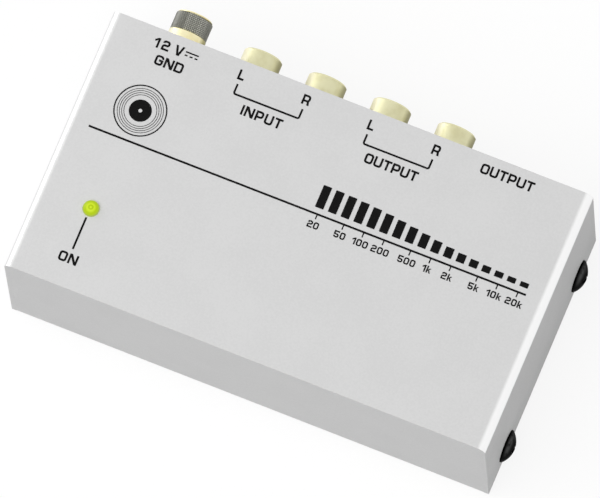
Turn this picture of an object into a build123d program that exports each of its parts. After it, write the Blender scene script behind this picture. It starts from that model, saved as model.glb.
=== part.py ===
from build123d import *
import os

# A small phono preamp in a two-part sheet-metal case: a folded cover over a folded tray
# that carries the circuit board. All the connectors are on the rear panel.
# Millimetres. +X is to the right seen from the front, +Y runs back to the rear panel, +Z is up.
# The origin is the centre of the footprint, on the surface that the feet stand on.

os.makedirs("parts", exist_ok=True)

# ---------------------------------------------------------------- driving dimensions

# Case
case_width = 105.0
case_depth = 57.7
case_height = 33.2
sheet = 1.0
cover_inner_bend = 0.8  # inside radius of the cover's two long bends
tray_inner_bend = 0.2  # inside radius of the tray's bends
case_gap = 0.06  # between the cover and the tray, a snug fit
flange_height = 9.0  # upturned side flanges of the tray
flange_length = 50.0
flange_relief = 1.5  # notch in the bottom at each end of a flange

# Rubber feet
foot_radius = 4.5
foot_height = 1.6
foot_inset = 10.0  # from the case's edges to a foot's centre
foot_edge = 0.4

# Side screws, M3 truss head, and their clinch nuts
screw_radius = 1.45
screw_length = 5.0  # under the head
screw_head_radius = 3.5
screw_head_height = 1.9
screw_head_rim = 0.3  # straight edge under the dome
screw_tip = 0.4  # chamfer at the end of the thread
screw_height = 4.8  # centre above the case's bottom
screw_from_edge = 9.55  # centre to the case's front and rear edges
screw_hole_clearance = 0.2
recess_span = 3.4  # cross recess, across both wings
recess_wing = 0.8
recess_depth = 1.1
clinch_nut_radius = 2.9
clinch_nut_length = 2.0
thread_clearance = 0.05  # between a screw and the thread that holds it

# Circuit board and its standoffs
board_thickness = 1.6
board_lift = 3.4  # above the tray's floor
board_corner = 1.0
board_clearance = 1.0  # to the rear panel and to the side screws' ends
board_front_gap = 6.7  # to the front panel
standoff_radius = 2.9
board_screw_radius = 1.45
board_screw_length = 4.4
board_screw_head_radius = 2.8
board_screw_head_height = 1.6
board_screw_head_round = 0.6
standoff_floor = 0.4  # solid end of a standoff under its screw
lead_tail = 1.5  # legs and leads stand out this far below the board
lead_hole_radius = 0.45
tab_width = 1.2
tab_thickness = 0.5
tab_hole_radius = 0.85

# Phono (RCA) jacks
jack_height = 14.5  # centres of all the board's jacks above the case's bottom
rca_row_x = -1.9  # middle of the row of four
rca_pitch = 14.2
rca_reach = 7.3  # beyond the rear panel's outer face
rca_shell_radius = 4.15
rca_shell_wall = 0.65
rca_neck_step = 0.2  # the shell is this much slimmer where it passes the panel and sits in its housing
rca_shell_seat = 3.0  # depth of the shell in its housing
rca_shell_edge = 0.35
rca_panel_clearance = 0.35
moulding_clearance = 0.05  # between a moulded piece and the metal that it holds
rca_insulator_recess = 0.3
rca_insulator_edge = 0.25
rca_contact_recess = 0.4
rca_contact_radius = 2.1
rca_bore_radius = 1.6
rca_contact_length = 13.6
rca_contact_end = 0.6
rca_housing_side = 5.75  # from a jack's centre to the housing's end
rca_housing_depth = 9.5
rca_housing_top = 9.5  # above the jacks' centres
rca_housing_edge = 2.0  # sloped upper edges
rca_screw_rise = 6.0  # panel screw above the jacks' centres
rca_screw_radius = 1.4
rca_screw_length = 7.0
rca_screw_head_radius = 2.7
rca_screw_head_height = 1.8
rca_screw_head_round = 0.9
rca_screw_turn = 20  # how far its cross recess is turned, in degrees
small_recess_span = 2.6  # cross recess of the board's and the panel's screws
small_recess_wing = 0.6
small_recess_depth = 0.9

# Quarter-inch stereo jack
stereo_from_edge = 17.4  # centre to the case's right edge
stereo_bore_radius = 3.25
stereo_nose_radius = 5.8
stereo_nose_reach = 0.8
stereo_width = 15.6
stereo_depth = 27.0
stereo_top = 8.2  # above the centre
stereo_wall = 1.5
stereo_front_wall = 7.2
stereo_tip_radius = 3.6  # hole in the back wall that the plug's tip passes
stereo_edge = 1.0
stereo_nose_edge = 0.3
spring_thickness = 0.4
spring_height = 3.0
spring_clearance = 0.15  # crest of a contact to the bore's line
spring_tail = 1.6  # strip beyond the crest
spring_tail_out = 1.3  # and how far it turns back out to its wall
# each contact's wall (-1 left, 1 right), its leg behind the cavity's front, and the run to its crest
stereo_contacts = {"sleeve": (-1, 2.0, 4.0), "ring": (1, 5.0, 6.0), "tip": (-1, 10.5, 5.0)}

# Power inlet
inlet_from_edge = 14.6  # centre to the case's left edge, shared with the ground post
inlet_rise = 6.5  # centre above the board
inlet_width = 9.0
inlet_depth = 14.0
inlet_top = 4.5
inlet_nose_radius = 4.0
inlet_bore_radius = 3.15
inlet_bore_depth = 9.7
inlet_pin_radius = 1.05
inlet_pin_recess = 0.8
inlet_pin_round = 0.5
inlet_tail_radius = 0.8  # the pin where the body holds it
inlet_edge = 0.8
inlet_nose_edge = 0.2
inlet_contact_setback = 3.0  # barrel contact in front of the bore's floor
inlet_contact_slot = 3.0  # length of its slot in the body
inlet_contact_rise = 0.3  # its tip above the bore's lowest line
inlet_tip_reach = 1.2
inlet_tip_face = 0.4
inlet_tip_slope = 0.6

# Ground post and its thumb nut
ground_share = 0.43  # how far up the free height from the inlet's top to the cover its axis lies
post_radius = 1.93
post_neck_radius = 2.0
post_shoulder_radius = 4.0
post_shoulder_length = 2.2
post_end = 6.6  # behind the rear panel's outer face
post_inner_length = 7.0
post_end_edge = 0.3
washer_length = 0.8
washer_clearance = 0.2
nut_clearance = 0.07  # thread flanks of the thumb nut on the post
nut_core_radius = 2.9
nut_grip_radius = 4.0
nut_grip_length = 4.0
nut_grip_edge = 0.2
nut_rim_radius = 3.75
nut_rim_length = 0.3
knurl_count = 42
knurl_depth = 0.22
inner_washer_radius = 3.9
inner_washer_length = 0.6
tag_length = 0.5
tag_radius = 3.6
tag_reach = 6.7
tag_tail_radius = 1.5
inner_nut_across = 7.0
inner_nut_length = 3.2
wire_radius = 0.65
wire_run = 5.0  # straight in from the tag before it turns down
wire_bend = 3.0

# Indicator lamp
lamp_from_side = 11.86  # centre to the case's left edge
lamp_from_front = 17.35  # centre to the case's front edge
lamp_radius = 1.65
lamp_rise = 1.1  # dome above the cover
lamp_length = 5.4
lamp_flange_radius = 2.0
lamp_flange = 1.0
lamp_hole_clearance = 0.1
lamp_lead_radius = 0.25
lamp_lead_pitch = 2.54
lamp_spacer_radius = 2.4

# Parts on the board
chip_pitch = 2.54
chip_row = 7.62
chip_width = 6.35
chip_length = 9.5
chip_height = 3.3
chip_lift = 0.6
chip_edge = 0.4
chip_notch_radius = 1.0
chip_notch_depth = 0.6
chip_leg_width = 0.5
chip_leg_thickness = 0.25
filter_cap_radius = 4.0
filter_cap_height = 12.0
filter_cap_pitch = 3.5
signal_cap_radius = 2.5
signal_cap_height = 11.0
signal_cap_pitch = 2.0
can_groove_height = 1.4  # middle of a can's rolled groove above the board
can_groove_half = 0.4
can_groove_depth = 0.35
can_edge = 0.4
film_cap_size = (7.2, 2.8, 6.5)
film_cap_pitch = 5.0
film_cap_edge = 0.3
resistor_radius = 1.15
resistor_length = 6.2
diode_radius = 1.35
diode_length = 5.2
axial_pitch = 10.0
axial_edge = 0.3
regulator_width = 10.2
regulator_body_height = 9.2
regulator_tab_height = 15.4
regulator_depth = 4.4
regulator_tab = 1.3
regulator_lift = 4.0
regulator_edge = 0.4
regulator_hole_radius = 1.8
regulator_hole_drop = 3.0  # below the tab's top
lead_radius = 0.3

# ---------------------------------------------------------------- derived places

front_y = -(case_depth + rca_reach) / 2
rear_y = front_y + case_depth
middle_y = (front_y + rear_y) / 2
case_bottom = foot_height
case_top = case_bottom + case_height
tray_floor = case_bottom + sheet
tray_width = case_width - 2 * (sheet + case_gap)
tray_height = case_height - sheet - case_gap
flange_inner_x = tray_width / 2 - sheet
cover_bend = sheet + cover_inner_bend
tray_bend = sheet + tray_inner_bend

screw_z = case_bottom + screw_height
screw_ys = (front_y + screw_from_edge, rear_y - screw_from_edge)
screw_hole_radius = screw_radius + screw_hole_clearance
screw_dome = screw_head_height - screw_head_rim
screw_dome_radius = (screw_head_radius**2 + screw_dome**2) / (2 * screw_dome)

board_bottom = tray_floor + board_lift
board_top = board_bottom + board_thickness
board_width = case_width - 2 * (screw_length + board_clearance)
board_rear_y = rear_y - sheet - board_clearance
board_depth = board_rear_y - (front_y + sheet + board_front_gap)
board_y = board_rear_y - board_depth / 2
leg_end = board_bottom - lead_tail

jack_z = case_bottom + jack_height
rca_pair_xs = {"input": rca_row_x - rca_pitch, "output": rca_row_x + rca_pitch}
rca_xs = {
    f"{pair}_{side}": x + shift * rca_pitch / 2
    for pair, x in rca_pair_xs.items()
    for side, shift in (("left", -1), ("right", 1))
}
rca_shell_bore = rca_shell_radius - rca_shell_wall
rca_neck_radius = rca_shell_radius - rca_neck_step
rca_seat = sheet + rca_shell_seat  # floor of the shell's seat, inside the rear panel's outer face
rca_face = rca_reach - rca_insulator_recess
rca_contact_face = rca_face - rca_contact_recess
rca_contact_back = rca_contact_length - rca_contact_face
rca_shell_leg_y = rear_y - rca_seat + tab_thickness / 2
rca_contact_leg_y = rear_y - rca_contact_back + rca_contact_end

stereo_x = case_width / 2 - stereo_from_edge
stereo_cavity_front = rear_y - sheet - stereo_front_wall
stereo_cavity_depth = stereo_depth - stereo_front_wall - stereo_wall
stereo_cavity_half = stereo_width / 2 - stereo_wall

inlet_x = -case_width / 2 + inlet_from_edge
inlet_z = board_top + inlet_rise
inlet_leg_y = rear_y - sheet - inlet_depth - tab_thickness / 2

inlet_top_z = inlet_z + inlet_top
ground_z = inlet_top_z + ground_share * (case_top - sheet - inlet_top_z)
washer_start = post_shoulder_length
nut_start = washer_start + washer_length
nut_end = nut_start + nut_grip_length + nut_rim_length
tag_start = sheet + inner_washer_length
inner_nut_start = tag_start + tag_length
wire_x = inlet_x - tag_reach
wire_y = rear_y - inner_nut_start - wire_run

lamp_x = -case_width / 2 + lamp_from_side
lamp_y = front_y + lamp_from_front
lamp_top = case_top + lamp_rise
lamp_bottom = lamp_top - lamp_length

# The board's own pattern of parts, from the board's centre
fixing_spots = [(-42.0, -20.5), (42.0, -20.5), (-29.5, 9.3), (23.0, 9.3)]
chip_spots = [(-10.0, -3.2), (8.0, -3.2)]
filter_cap_spots = [(-34.0, -1.2), (-24.5, -1.2), (-29.0, -11.2)]
signal_cap_spots = [(-18.0 + 7.0 * i, 9.8) for i in range(6)]
film_cap_spots = [(-14.0 + 10.0 * i, y) for y in (-11.7, -15.7) for i in range(4)]
resistor_spots = [(-22.0 + 12.0 * i, -20.4) for i in range(5)] + [(19.5, 1.8 - 4.0 * i) for i in range(3)]
diode_spots = [(-37.5, 5.8)]
regulator_spots = [(35.1, -12.0)]


def on_board(spots):
    """Row-frame places of parts given from the board's centre."""
    return [(x, board_y + y) for x, y in spots]


def pairs(spots, pitch):
    """The two lead places, left and right, of each part in a list."""
    return [(x + side * pitch / 2, y) for x, y in spots for side in (-1, 1)]


chip_legs = [
    (x + side * chip_row / 2, y + (n - 1.5) * chip_pitch)
    for x, y in on_board(chip_spots)
    for side in (-1, 1)
    for n in range(4)
]
regulator_legs = [(x + n * chip_pitch, y) for x, y in on_board(regulator_spots) for n in (-1, 0, 1)]
filter_leads = pairs(on_board(filter_cap_spots), filter_cap_pitch)
signal_leads = pairs(on_board(signal_cap_spots), signal_cap_pitch)
film_leads = pairs(on_board(film_cap_spots), film_cap_pitch)
axial_leads = pairs(on_board(resistor_spots + diode_spots), axial_pitch)
lamp_leads = pairs([(lamp_x, lamp_y)], lamp_lead_pitch)
small_holes = chip_legs + regulator_legs + filter_leads + signal_leads + film_leads + axial_leads + lamp_leads

# Legs of the stereo jack: its three contacts stand against the side walls of its cavity
stereo_legs = {
    name: (stereo_x + side * (stereo_cavity_half - spring_thickness / 2), stereo_cavity_front - setback)
    for name, (side, setback, _) in stereo_contacts.items()
}
inlet_contact_y = rear_y - sheet - inlet_bore_depth + inlet_contact_setback
tab_spots = (
    [(x, y) for x in rca_xs.values() for y in (rca_shell_leg_y, rca_contact_leg_y)]
    + list(stereo_legs.values())
    + [(inlet_x, inlet_leg_y), (inlet_x, inlet_contact_y), (wire_x, wire_y)]
)


def behind(distance):
    """A plane parallel to the rear panel, at a distance behind its outer face.

    Sketches on it read as (x, z), and extrusions run forward, into the case.
    """
    return Plane(origin=(0, rear_y + distance, 0), x_dir=(1, 0, 0), z_dir=(0, -1, 0))


def lathe_plane(centre, along):
    """The plane of a turned piece's profile: x is the radius, y runs along the axis."""
    along = Vector(*along)
    radial = Vector(0, 1, 0) if along.X else Vector(1, 0, 0)
    return Plane(origin=centre, x_dir=radial, z_dir=radial.cross(along))


def save(piece, name):
    """Label a finished piece and write it to its own STEP file."""
    piece.part.label = name
    export_step(piece.part, f"parts/{name}.step")


# ---------------------------------------------------------------- case

# Cover: the top and both side walls, folded from one sheet
with BuildPart() as top_cover:
    with BuildSketch(behind(0)) as cover_section:
        with Locations((0, case_bottom)):
            Rectangle(case_width, case_height, align=(Align.CENTER, Align.MIN))
        fillet(cover_section.vertices().group_by(Axis.Y)[-1], cover_bend)
    extrude(amount=case_depth)
    with BuildSketch(behind(0)) as cover_hollow:
        with Locations((0, case_bottom)):
            Rectangle(case_width - 2 * sheet, case_height - sheet, align=(Align.CENTER, Align.MIN))
        fillet(cover_hollow.vertices().group_by(Axis.Y)[-1], cover_inner_bend)
    extrude(amount=case_depth, mode=Mode.SUBTRACT)
    with BuildSketch(Plane.XY.offset(case_top)):
        with Locations((lamp_x, lamp_y)):
            Circle(lamp_radius + lamp_hole_clearance)
    extrude(amount=-2 * sheet, mode=Mode.SUBTRACT)
    with BuildSketch(Plane.YZ):
        with Locations(*[(y, screw_z) for y in screw_ys]):
            Circle(screw_hole_radius)
    extrude(amount=case_width, both=True, mode=Mode.SUBTRACT)
save(top_cover, "top_cover")

# Tray: the bottom, the front and rear panels and two low side flanges, folded from one sheet
with BuildPart() as chassis_tray:
    with BuildSketch(Plane.YZ.offset(-tray_width / 2)) as tray_section:
        with Locations((middle_y, case_bottom)):
            Rectangle(case_depth, tray_height, align=(Align.CENTER, Align.MIN))
        fillet(tray_section.vertices().group_by(Axis.Y)[0], tray_bend)
    extrude(amount=tray_width)
    with BuildSketch(Plane.YZ.offset(-tray_width / 2)) as tray_hollow:
        with Locations((middle_y, tray_floor)):
            Rectangle(case_depth - 2 * sheet, tray_height, align=(Align.CENTER, Align.MIN))
        fillet(tray_hollow.vertices().group_by(Axis.Y)[0], tray_inner_bend)
    extrude(amount=tray_width, mode=Mode.SUBTRACT)
    # the panels' top corners follow the inside of the cover's bends
    fillet(
        chassis_tray.edges().filter_by(Axis.Y).group_by(Axis.Z)[-1],
        cover_inner_bend - case_gap,
    )
    # the bottom's side strips are cut away where the flanges fold up
    with BuildSketch(Plane.XY.offset(case_bottom)):
        with Locations((-tray_width / 2, middle_y), (tray_width / 2, middle_y)):
            Rectangle(2 * tray_bend, flange_length + 2 * flange_relief)
    extrude(amount=sheet, mode=Mode.SUBTRACT)
    with BuildSketch(Plane.XZ.offset(-middle_y - flange_length / 2)) as flange_section:
        with Locations((0, case_bottom)):
            Rectangle(tray_width, flange_height, align=(Align.CENTER, Align.MIN))
        fillet(flange_section.vertices().group_by(Axis.Y)[0], tray_bend)
        with Locations((0, tray_floor)):
            Rectangle(
                tray_width - 2 * sheet,
                flange_height,
                align=(Align.CENTER, Align.MIN),
                mode=Mode.SUBTRACT,
            )
    extrude(amount=flange_length)
    with BuildSketch(Plane.YZ):
        with Locations(*[(y, screw_z) for y in screw_ys]):
            Circle(screw_hole_radius)
    extrude(amount=case_width, both=True, mode=Mode.SUBTRACT)
    # openings in the rear panel
    with BuildSketch(behind(sheet)):
        with Locations(*[(x, jack_z) for x in rca_xs.values()]):
            Circle(rca_neck_radius + rca_panel_clearance)
        with Locations(*[(x, jack_z + rca_screw_rise) for x in rca_pair_xs.values()]):
            Circle(rca_screw_radius + screw_hole_clearance)
        with Locations((stereo_x, jack_z)):
            Circle(stereo_nose_radius + screw_hole_clearance)
        with Locations((inlet_x, inlet_z)):
            Circle(inlet_nose_radius + screw_hole_clearance)
        with Locations((inlet_x, ground_z)):
            Circle(post_neck_radius + screw_hole_clearance)
    extrude(amount=3 * sheet, mode=Mode.SUBTRACT)
save(chassis_tray, "chassis_tray")

# Feet: four stick-on rubber discs under the tray
foot_spots = [
    (side * (case_width / 2 - foot_inset), y)
    for side in (-1, 1)
    for y in (front_y + foot_inset, rear_y - foot_inset)
]
with BuildPart() as rubber_feet:
    with BuildSketch(Plane.XY):
        with Locations(*foot_spots):
            Circle(foot_radius)
    extrude(amount=foot_height)
    chamfer(rubber_feet.edges().group_by(Axis.Z)[0], foot_edge)
save(rubber_feet, "rubber_feet")

# Side screws: truss heads with a cross recess, two through each side wall
with BuildPart() as side_screws:
    for side in (-1, 1):
        for y in screw_ys:
            seat = (side * case_width / 2, y, screw_z)
            with BuildSketch(lathe_plane(seat, (side, 0, 0))):
                with BuildLine():
                    Polyline(
                        (0, screw_head_height),
                        (0, -screw_length),
                        (screw_radius - screw_tip, -screw_length),
                        (screw_radius, screw_tip - screw_length),
                        (screw_radius, 0),
                        (screw_head_radius, 0),
                        (screw_head_radius, screw_head_rim),
                    )
                    RadiusArc(
                        (screw_head_radius, screw_head_rim),
                        (0, screw_head_height),
                        -screw_dome_radius,
                    )
                make_face()
            revolve(axis=Axis(seat, (side, 0, 0)))
            top = Plane(origin=seat, x_dir=(0, 1, 0), z_dir=(side, 0, 0)).offset(screw_head_height)
            with BuildSketch(top):
                Rectangle(recess_span, recess_wing, rotation=45)
                Rectangle(recess_span, recess_wing, rotation=-45)
            extrude(amount=-recess_depth, mode=Mode.SUBTRACT)
save(side_screws, "side_screws")

# Clinch nuts: pressed into the flanges to take the side screws
with BuildPart() as clinch_nuts:
    for side in (-1, 1):
        inner = Plane(
            origin=(side * flange_inner_x, 0, 0), x_dir=(0, side, 0), z_dir=(-side, 0, 0)
        )
        with BuildSketch(inner):
            with Locations(*[(side * y, -screw_z) for y in screw_ys]):
                Circle(clinch_nut_radius)
                Circle(screw_radius + thread_clearance, mode=Mode.SUBTRACT)
        extrude(amount=clinch_nut_length)
save(clinch_nuts, "clinch_nuts")

# ---------------------------------------------------------------- board and fixings

# Standoffs: pressed onto the tray's floor
with BuildPart() as board_standoffs:
    with BuildSketch(Plane.XY.offset(tray_floor)):
        with Locations(*on_board(fixing_spots)):
            Circle(standoff_radius)
    extrude(amount=board_lift)
    with BuildSketch(Plane.XY.offset(tray_floor + standoff_floor)):
        with Locations(*on_board(fixing_spots)):
            Circle(board_screw_radius + thread_clearance)
    extrude(amount=board_lift, mode=Mode.SUBTRACT)
save(board_standoffs, "board_standoffs")

with BuildPart() as main_board:
    with BuildSketch(Plane.XY.offset(board_bottom)) as board_outline:
        with Locations((0, board_y)):
            Rectangle(board_width, board_depth)
        fillet(board_outline.vertices(), board_corner)
        with Locations(*on_board(fixing_spots)):
            Circle(board_screw_radius + screw_hole_clearance, mode=Mode.SUBTRACT)
        with Locations(*small_holes):
            Circle(lead_hole_radius, mode=Mode.SUBTRACT)
        with Locations(*tab_spots):
            Circle(tab_hole_radius, mode=Mode.SUBTRACT)
    extrude(amount=board_thickness)
save(main_board, "main_board")

with BuildPart() as board_screws:
    with BuildSketch(Plane.XY.offset(board_top)):
        with Locations(*on_board(fixing_spots)):
            Circle(board_screw_head_radius)
    extrude(amount=board_screw_head_height)
    fillet(board_screws.edges().group_by(Axis.Z)[-1], board_screw_head_round)
    with BuildSketch(Plane.XY.offset(board_top)):
        with Locations(*on_board(fixing_spots)):
            Circle(board_screw_radius)
    extrude(amount=-board_screw_length)
    with BuildSketch(Plane.XY.offset(board_top + board_screw_head_height)):
        with Locations(*on_board(fixing_spots)):
            Rectangle(small_recess_span, small_recess_wing)
            Rectangle(small_recess_wing, small_recess_span)
    extrude(amount=-small_recess_depth, mode=Mode.SUBTRACT)
save(board_screws, "board_screws")


def tab(spot, top):
    """A flat leg that runs down from a height through the board, in the builder's part."""
    with BuildSketch(Plane.XY.offset(leg_end)) as outline:
        with Locations(spot):
            Rectangle(tab_width, tab_thickness)
    extrude(outline.sketch, amount=top - leg_end)


# ---------------------------------------------------------------- phono jacks

for pair, pair_x in rca_pair_xs.items():
    jacks = [x for name, x in rca_xs.items() if name.startswith(pair)]
    # Housing: one moulded block for two jacks
    with BuildPart() as housing:
        with BuildSketch(behind(-sheet)):
            with Locations((pair_x, board_top)):
                Rectangle(
                    rca_pitch + 2 * rca_housing_side,
                    jack_z + rca_housing_top - board_top,
                    align=(Align.CENTER, Align.MIN),
                )
        extrude(amount=rca_housing_depth)
        chamfer(housing.edges().filter_by(Axis.Y).group_by(Axis.Z)[-1], rca_housing_edge)
        with BuildSketch(behind(-sheet)):
            with Locations(*[(x, jack_z) for x in jacks]):
                Circle(rca_neck_radius + moulding_clearance)
        extrude(amount=rca_shell_seat, mode=Mode.SUBTRACT)
        with BuildSketch(behind(-sheet)):
            with Locations(*[(x, jack_z) for x in jacks]):
                Circle(rca_contact_radius + moulding_clearance)
        extrude(amount=rca_contact_back - sheet, mode=Mode.SUBTRACT)
        # slots for the shells' and the contacts' legs
        with BuildSketch(Plane.XY.offset(board_top)):
            with Locations(*[(x, rear_y - sheet) for x in jacks]):
                Rectangle(
                    tab_width + 2 * screw_hole_clearance,
                    rca_shell_seat,
                    align=(Align.CENTER, Align.MAX),
                )
            with Locations(*[(x, rca_contact_leg_y) for x in jacks]):
                Rectangle(tab_width + 2 * screw_hole_clearance, tab_thickness + 2 * screw_hole_clearance)
        extrude(amount=jack_z - board_top, mode=Mode.SUBTRACT)
        with BuildSketch(behind(-sheet)):
            with Locations((pair_x, jack_z + rca_screw_rise)):
                Circle(rca_screw_radius + thread_clearance)
        extrude(amount=rca_screw_length, mode=Mode.SUBTRACT)
    save(housing, f"rca_housing_{pair}")

for name, x in rca_xs.items():
    # Shell: the plated outer contact
    with BuildPart() as shell:
        with BuildSketch(behind(rca_reach)):
            with Locations((x, jack_z)):
                Circle(rca_shell_radius)
        extrude(amount=rca_reach)
        with BuildSketch(behind(0)):
            with Locations((x, jack_z)):
                Circle(rca_neck_radius)
        extrude(amount=rca_seat)
        tab((x, rca_shell_leg_y), jack_z - rca_shell_bore)
        with BuildSketch(behind(rca_reach)):
            with Locations((x, jack_z)):
                Circle(rca_shell_bore)
        extrude(amount=rca_reach + rca_seat, mode=Mode.SUBTRACT)
        outer_rim = shell.edges().filter_by(GeomType.CIRCLE).group_by(Axis.Y)[-1]
        chamfer(outer_rim.sort_by(SortBy.RADIUS)[-1], rca_shell_edge)
    save(shell, f"rca_shell_{name}")

    # Insulator: fills the shell around the centre contact
    with BuildPart() as insulator:
        with BuildSketch(behind(rca_face)):
            with Locations((x, jack_z)):
                Circle(rca_shell_bore - moulding_clearance)
                Circle(rca_contact_radius + moulding_clearance, mode=Mode.SUBTRACT)
        extrude(amount=rca_face + rca_seat)
        face_edges = insulator.edges().group_by(Axis.Y)[-1]
        chamfer(face_edges.sort_by(SortBy.RADIUS)[0], rca_insulator_edge)
    save(insulator, f"rca_insulator_{name}")

    # Contact: a tube that grips the plug's pin, closed at the back
    with BuildPart() as contact:
        with BuildSketch(behind(rca_contact_face)):
            with Locations((x, jack_z)):
                Circle(rca_contact_radius)
        extrude(amount=rca_contact_length)
        tab((x, rca_contact_leg_y), jack_z - rca_bore_radius)
        with BuildSketch(behind(rca_contact_face)):
            with Locations((x, jack_z)):
                Circle(rca_bore_radius)
        extrude(amount=rca_contact_length - rca_contact_end, mode=Mode.SUBTRACT)
    save(contact, f"rca_contact_{name}")

# Panel screws: one between the two jacks of each housing
with BuildPart() as rca_panel_screws:
    with BuildSketch(behind(rca_screw_head_height)):
        with Locations(*[(x, jack_z + rca_screw_rise) for x in rca_pair_xs.values()]):
            Circle(rca_screw_head_radius)
    extrude(amount=rca_screw_head_height)
    fillet(rca_panel_screws.edges().group_by(Axis.Y)[-1], rca_screw_head_round)
    with BuildSketch(behind(0)):
        with Locations(*[(x, jack_z + rca_screw_rise) for x in rca_pair_xs.values()]):
            Circle(rca_screw_radius)
    extrude(amount=rca_screw_length)
    with BuildSketch(behind(rca_screw_head_height)):
        with Locations(*[(x, jack_z + rca_screw_rise) for x in rca_pair_xs.values()]):
            Rectangle(small_recess_span, small_recess_wing, rotation=rca_screw_turn)
            Rectangle(small_recess_wing, small_recess_span, rotation=rca_screw_turn)
    extrude(amount=small_recess_depth, mode=Mode.SUBTRACT)
save(rca_panel_screws, "rca_panel_screws")

# ---------------------------------------------------------------- stereo jack

with BuildPart() as stereo_jack_body:
    with BuildSketch(behind(-sheet)):
        with Locations((stereo_x, board_top)):
            Rectangle(
                stereo_width, jack_z + stereo_top - board_top, align=(Align.CENTER, Align.MIN)
            )
    extrude(amount=stereo_depth)
    fillet(stereo_jack_body.edges().filter_by(Axis.Y).group_by(Axis.Z)[-1], stereo_edge)
    with BuildSketch(Plane.XY.offset(board_top)):
        with Locations((stereo_x, stereo_cavity_front)):
            Rectangle(2 * stereo_cavity_half, stereo_cavity_depth, align=(Align.CENTER, Align.MAX))
    extrude(amount=jack_z + stereo_top - stereo_wall - board_top, mode=Mode.SUBTRACT)
    with BuildSketch(behind(stereo_nose_reach)):
        with Locations((stereo_x, jack_z)):
            Circle(stereo_nose_radius)
    extrude(amount=stereo_nose_reach + sheet)
    chamfer(stereo_jack_body.edges().group_by(Axis.Y)[-1], stereo_nose_edge)
    with BuildSketch(behind(stereo_nose_reach)):
        with Locations((stereo_x, jack_z)):
            Circle(stereo_bore_radius)
    extrude(amount=stereo_nose_reach + sheet + stereo_front_wall, mode=Mode.SUBTRACT)
    with BuildSketch(behind(-sheet - stereo_depth)):
        with Locations((stereo_x, jack_z)):
            Circle(stereo_tip_radius)
    extrude(amount=-2 * stereo_wall, mode=Mode.SUBTRACT)
save(stereo_jack_body, "stereo_jack_body")


def leaf_spring(side, spot, crest_run):
    """A leaf contact in the stereo jack: up a side wall, then in to the plug's line.

    side is -1 for the left wall and 1 for the right; the strip runs towards the front
    of the case from its leg, and its crest stands at the plug's line after crest_run.
    """
    crest = stereo_bore_radius + spring_clearance + spring_thickness / 2
    with BuildPart() as leaf:
        with BuildSketch(Plane.XY.offset(jack_z - spring_height / 2)):
            with BuildLine() as run:
                Polyline(
                    (spot[0], spot[1] + tab_width / 2),
                    (spot[0], spot[1] - tab_width),
                    (stereo_x + side * crest, spot[1] - crest_run),
                    (stereo_x + side * (crest + spring_tail_out), spot[1] - crest_run - spring_tail),
                )
                offset(amount=spring_thickness / 2)
            make_face()
        extrude(amount=spring_height)
        with BuildSketch(Plane.XY.offset(leg_end)):
            with Locations(spot):
                Rectangle(spring_thickness, tab_width)
        extrude(amount=jack_z - leg_end)
    return leaf


for name, (side, _, crest_run) in stereo_contacts.items():
    save(leaf_spring(side, stereo_legs[name], crest_run), f"stereo_{name}_contact")

# ---------------------------------------------------------------- power inlet

with BuildPart() as power_inlet_body:
    with BuildSketch(behind(-sheet)):
        with Locations((inlet_x, board_top)):
            Rectangle(
                inlet_width, inlet_rise + inlet_top, align=(Align.CENTER, Align.MIN)
            )
    extrude(amount=inlet_depth)
    fillet(power_inlet_body.edges().filter_by(Axis.Y).group_by(Axis.Z)[-1], inlet_edge)
    with BuildSketch(behind(0)):
        with Locations((inlet_x, inlet_z)):
            Circle(inlet_nose_radius)
    extrude(amount=sheet)
    chamfer(power_inlet_body.edges().group_by(Axis.Y)[-1], inlet_nose_edge)
    with BuildSketch(behind(0)):
        with Locations((inlet_x, inlet_z)):
            Circle(inlet_bore_radius)
    extrude(amount=sheet + inlet_bore_depth, mode=Mode.SUBTRACT)
    with BuildSketch(behind(0)):
        with Locations((inlet_x, inlet_z)):
            Circle(inlet_tail_radius + moulding_clearance)
    extrude(amount=sheet + inlet_depth, mode=Mode.SUBTRACT)
    # slot for the barrel contact
    with BuildSketch(Plane.XY.offset(board_top)):
        with Locations((inlet_x, inlet_contact_y)):
            Rectangle(tab_width + 2 * screw_hole_clearance, inlet_contact_slot)
    extrude(amount=inlet_rise, mode=Mode.SUBTRACT)
save(power_inlet_body, "power_inlet_body")

with BuildPart() as power_inlet_pin:
    with BuildSketch(behind(-inlet_pin_recess)):
        with Locations((inlet_x, inlet_z)):
            Circle(inlet_pin_radius)
    extrude(amount=sheet + inlet_bore_depth - inlet_pin_recess)
    fillet(power_inlet_pin.edges().group_by(Axis.Y)[-1], inlet_pin_round)
    with BuildSketch(behind(-sheet - inlet_bore_depth)):
        with Locations((inlet_x, inlet_z)):
            Circle(inlet_tail_radius)
    extrude(amount=inlet_depth - inlet_bore_depth)
    tab((inlet_x, inlet_leg_y), inlet_z + inlet_tail_radius)
save(power_inlet_pin, "power_inlet_pin")

with BuildPart() as power_inlet_contact:
    barrel_line = inlet_z - inlet_bore_radius + inlet_contact_rise
    with BuildSketch(Plane.YZ.offset(inlet_x - tab_width / 2)):
        with BuildLine():
            Polyline(
                (inlet_contact_y - tab_thickness / 2, leg_end),
                (inlet_contact_y + tab_thickness / 2, leg_end),
                (inlet_contact_y + tab_thickness / 2, barrel_line - inlet_tip_face - inlet_tip_slope),
                (inlet_contact_y + inlet_tip_reach, barrel_line - inlet_tip_face),
                (inlet_contact_y + inlet_tip_reach, barrel_line),
                (inlet_contact_y - tab_thickness / 2, barrel_line - 2 * inlet_tip_face),
                close=True,
            )
        make_face()
    extrude(amount=tab_width)
save(power_inlet_contact, "power_inlet_contact")

# ---------------------------------------------------------------- ground terminal


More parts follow.
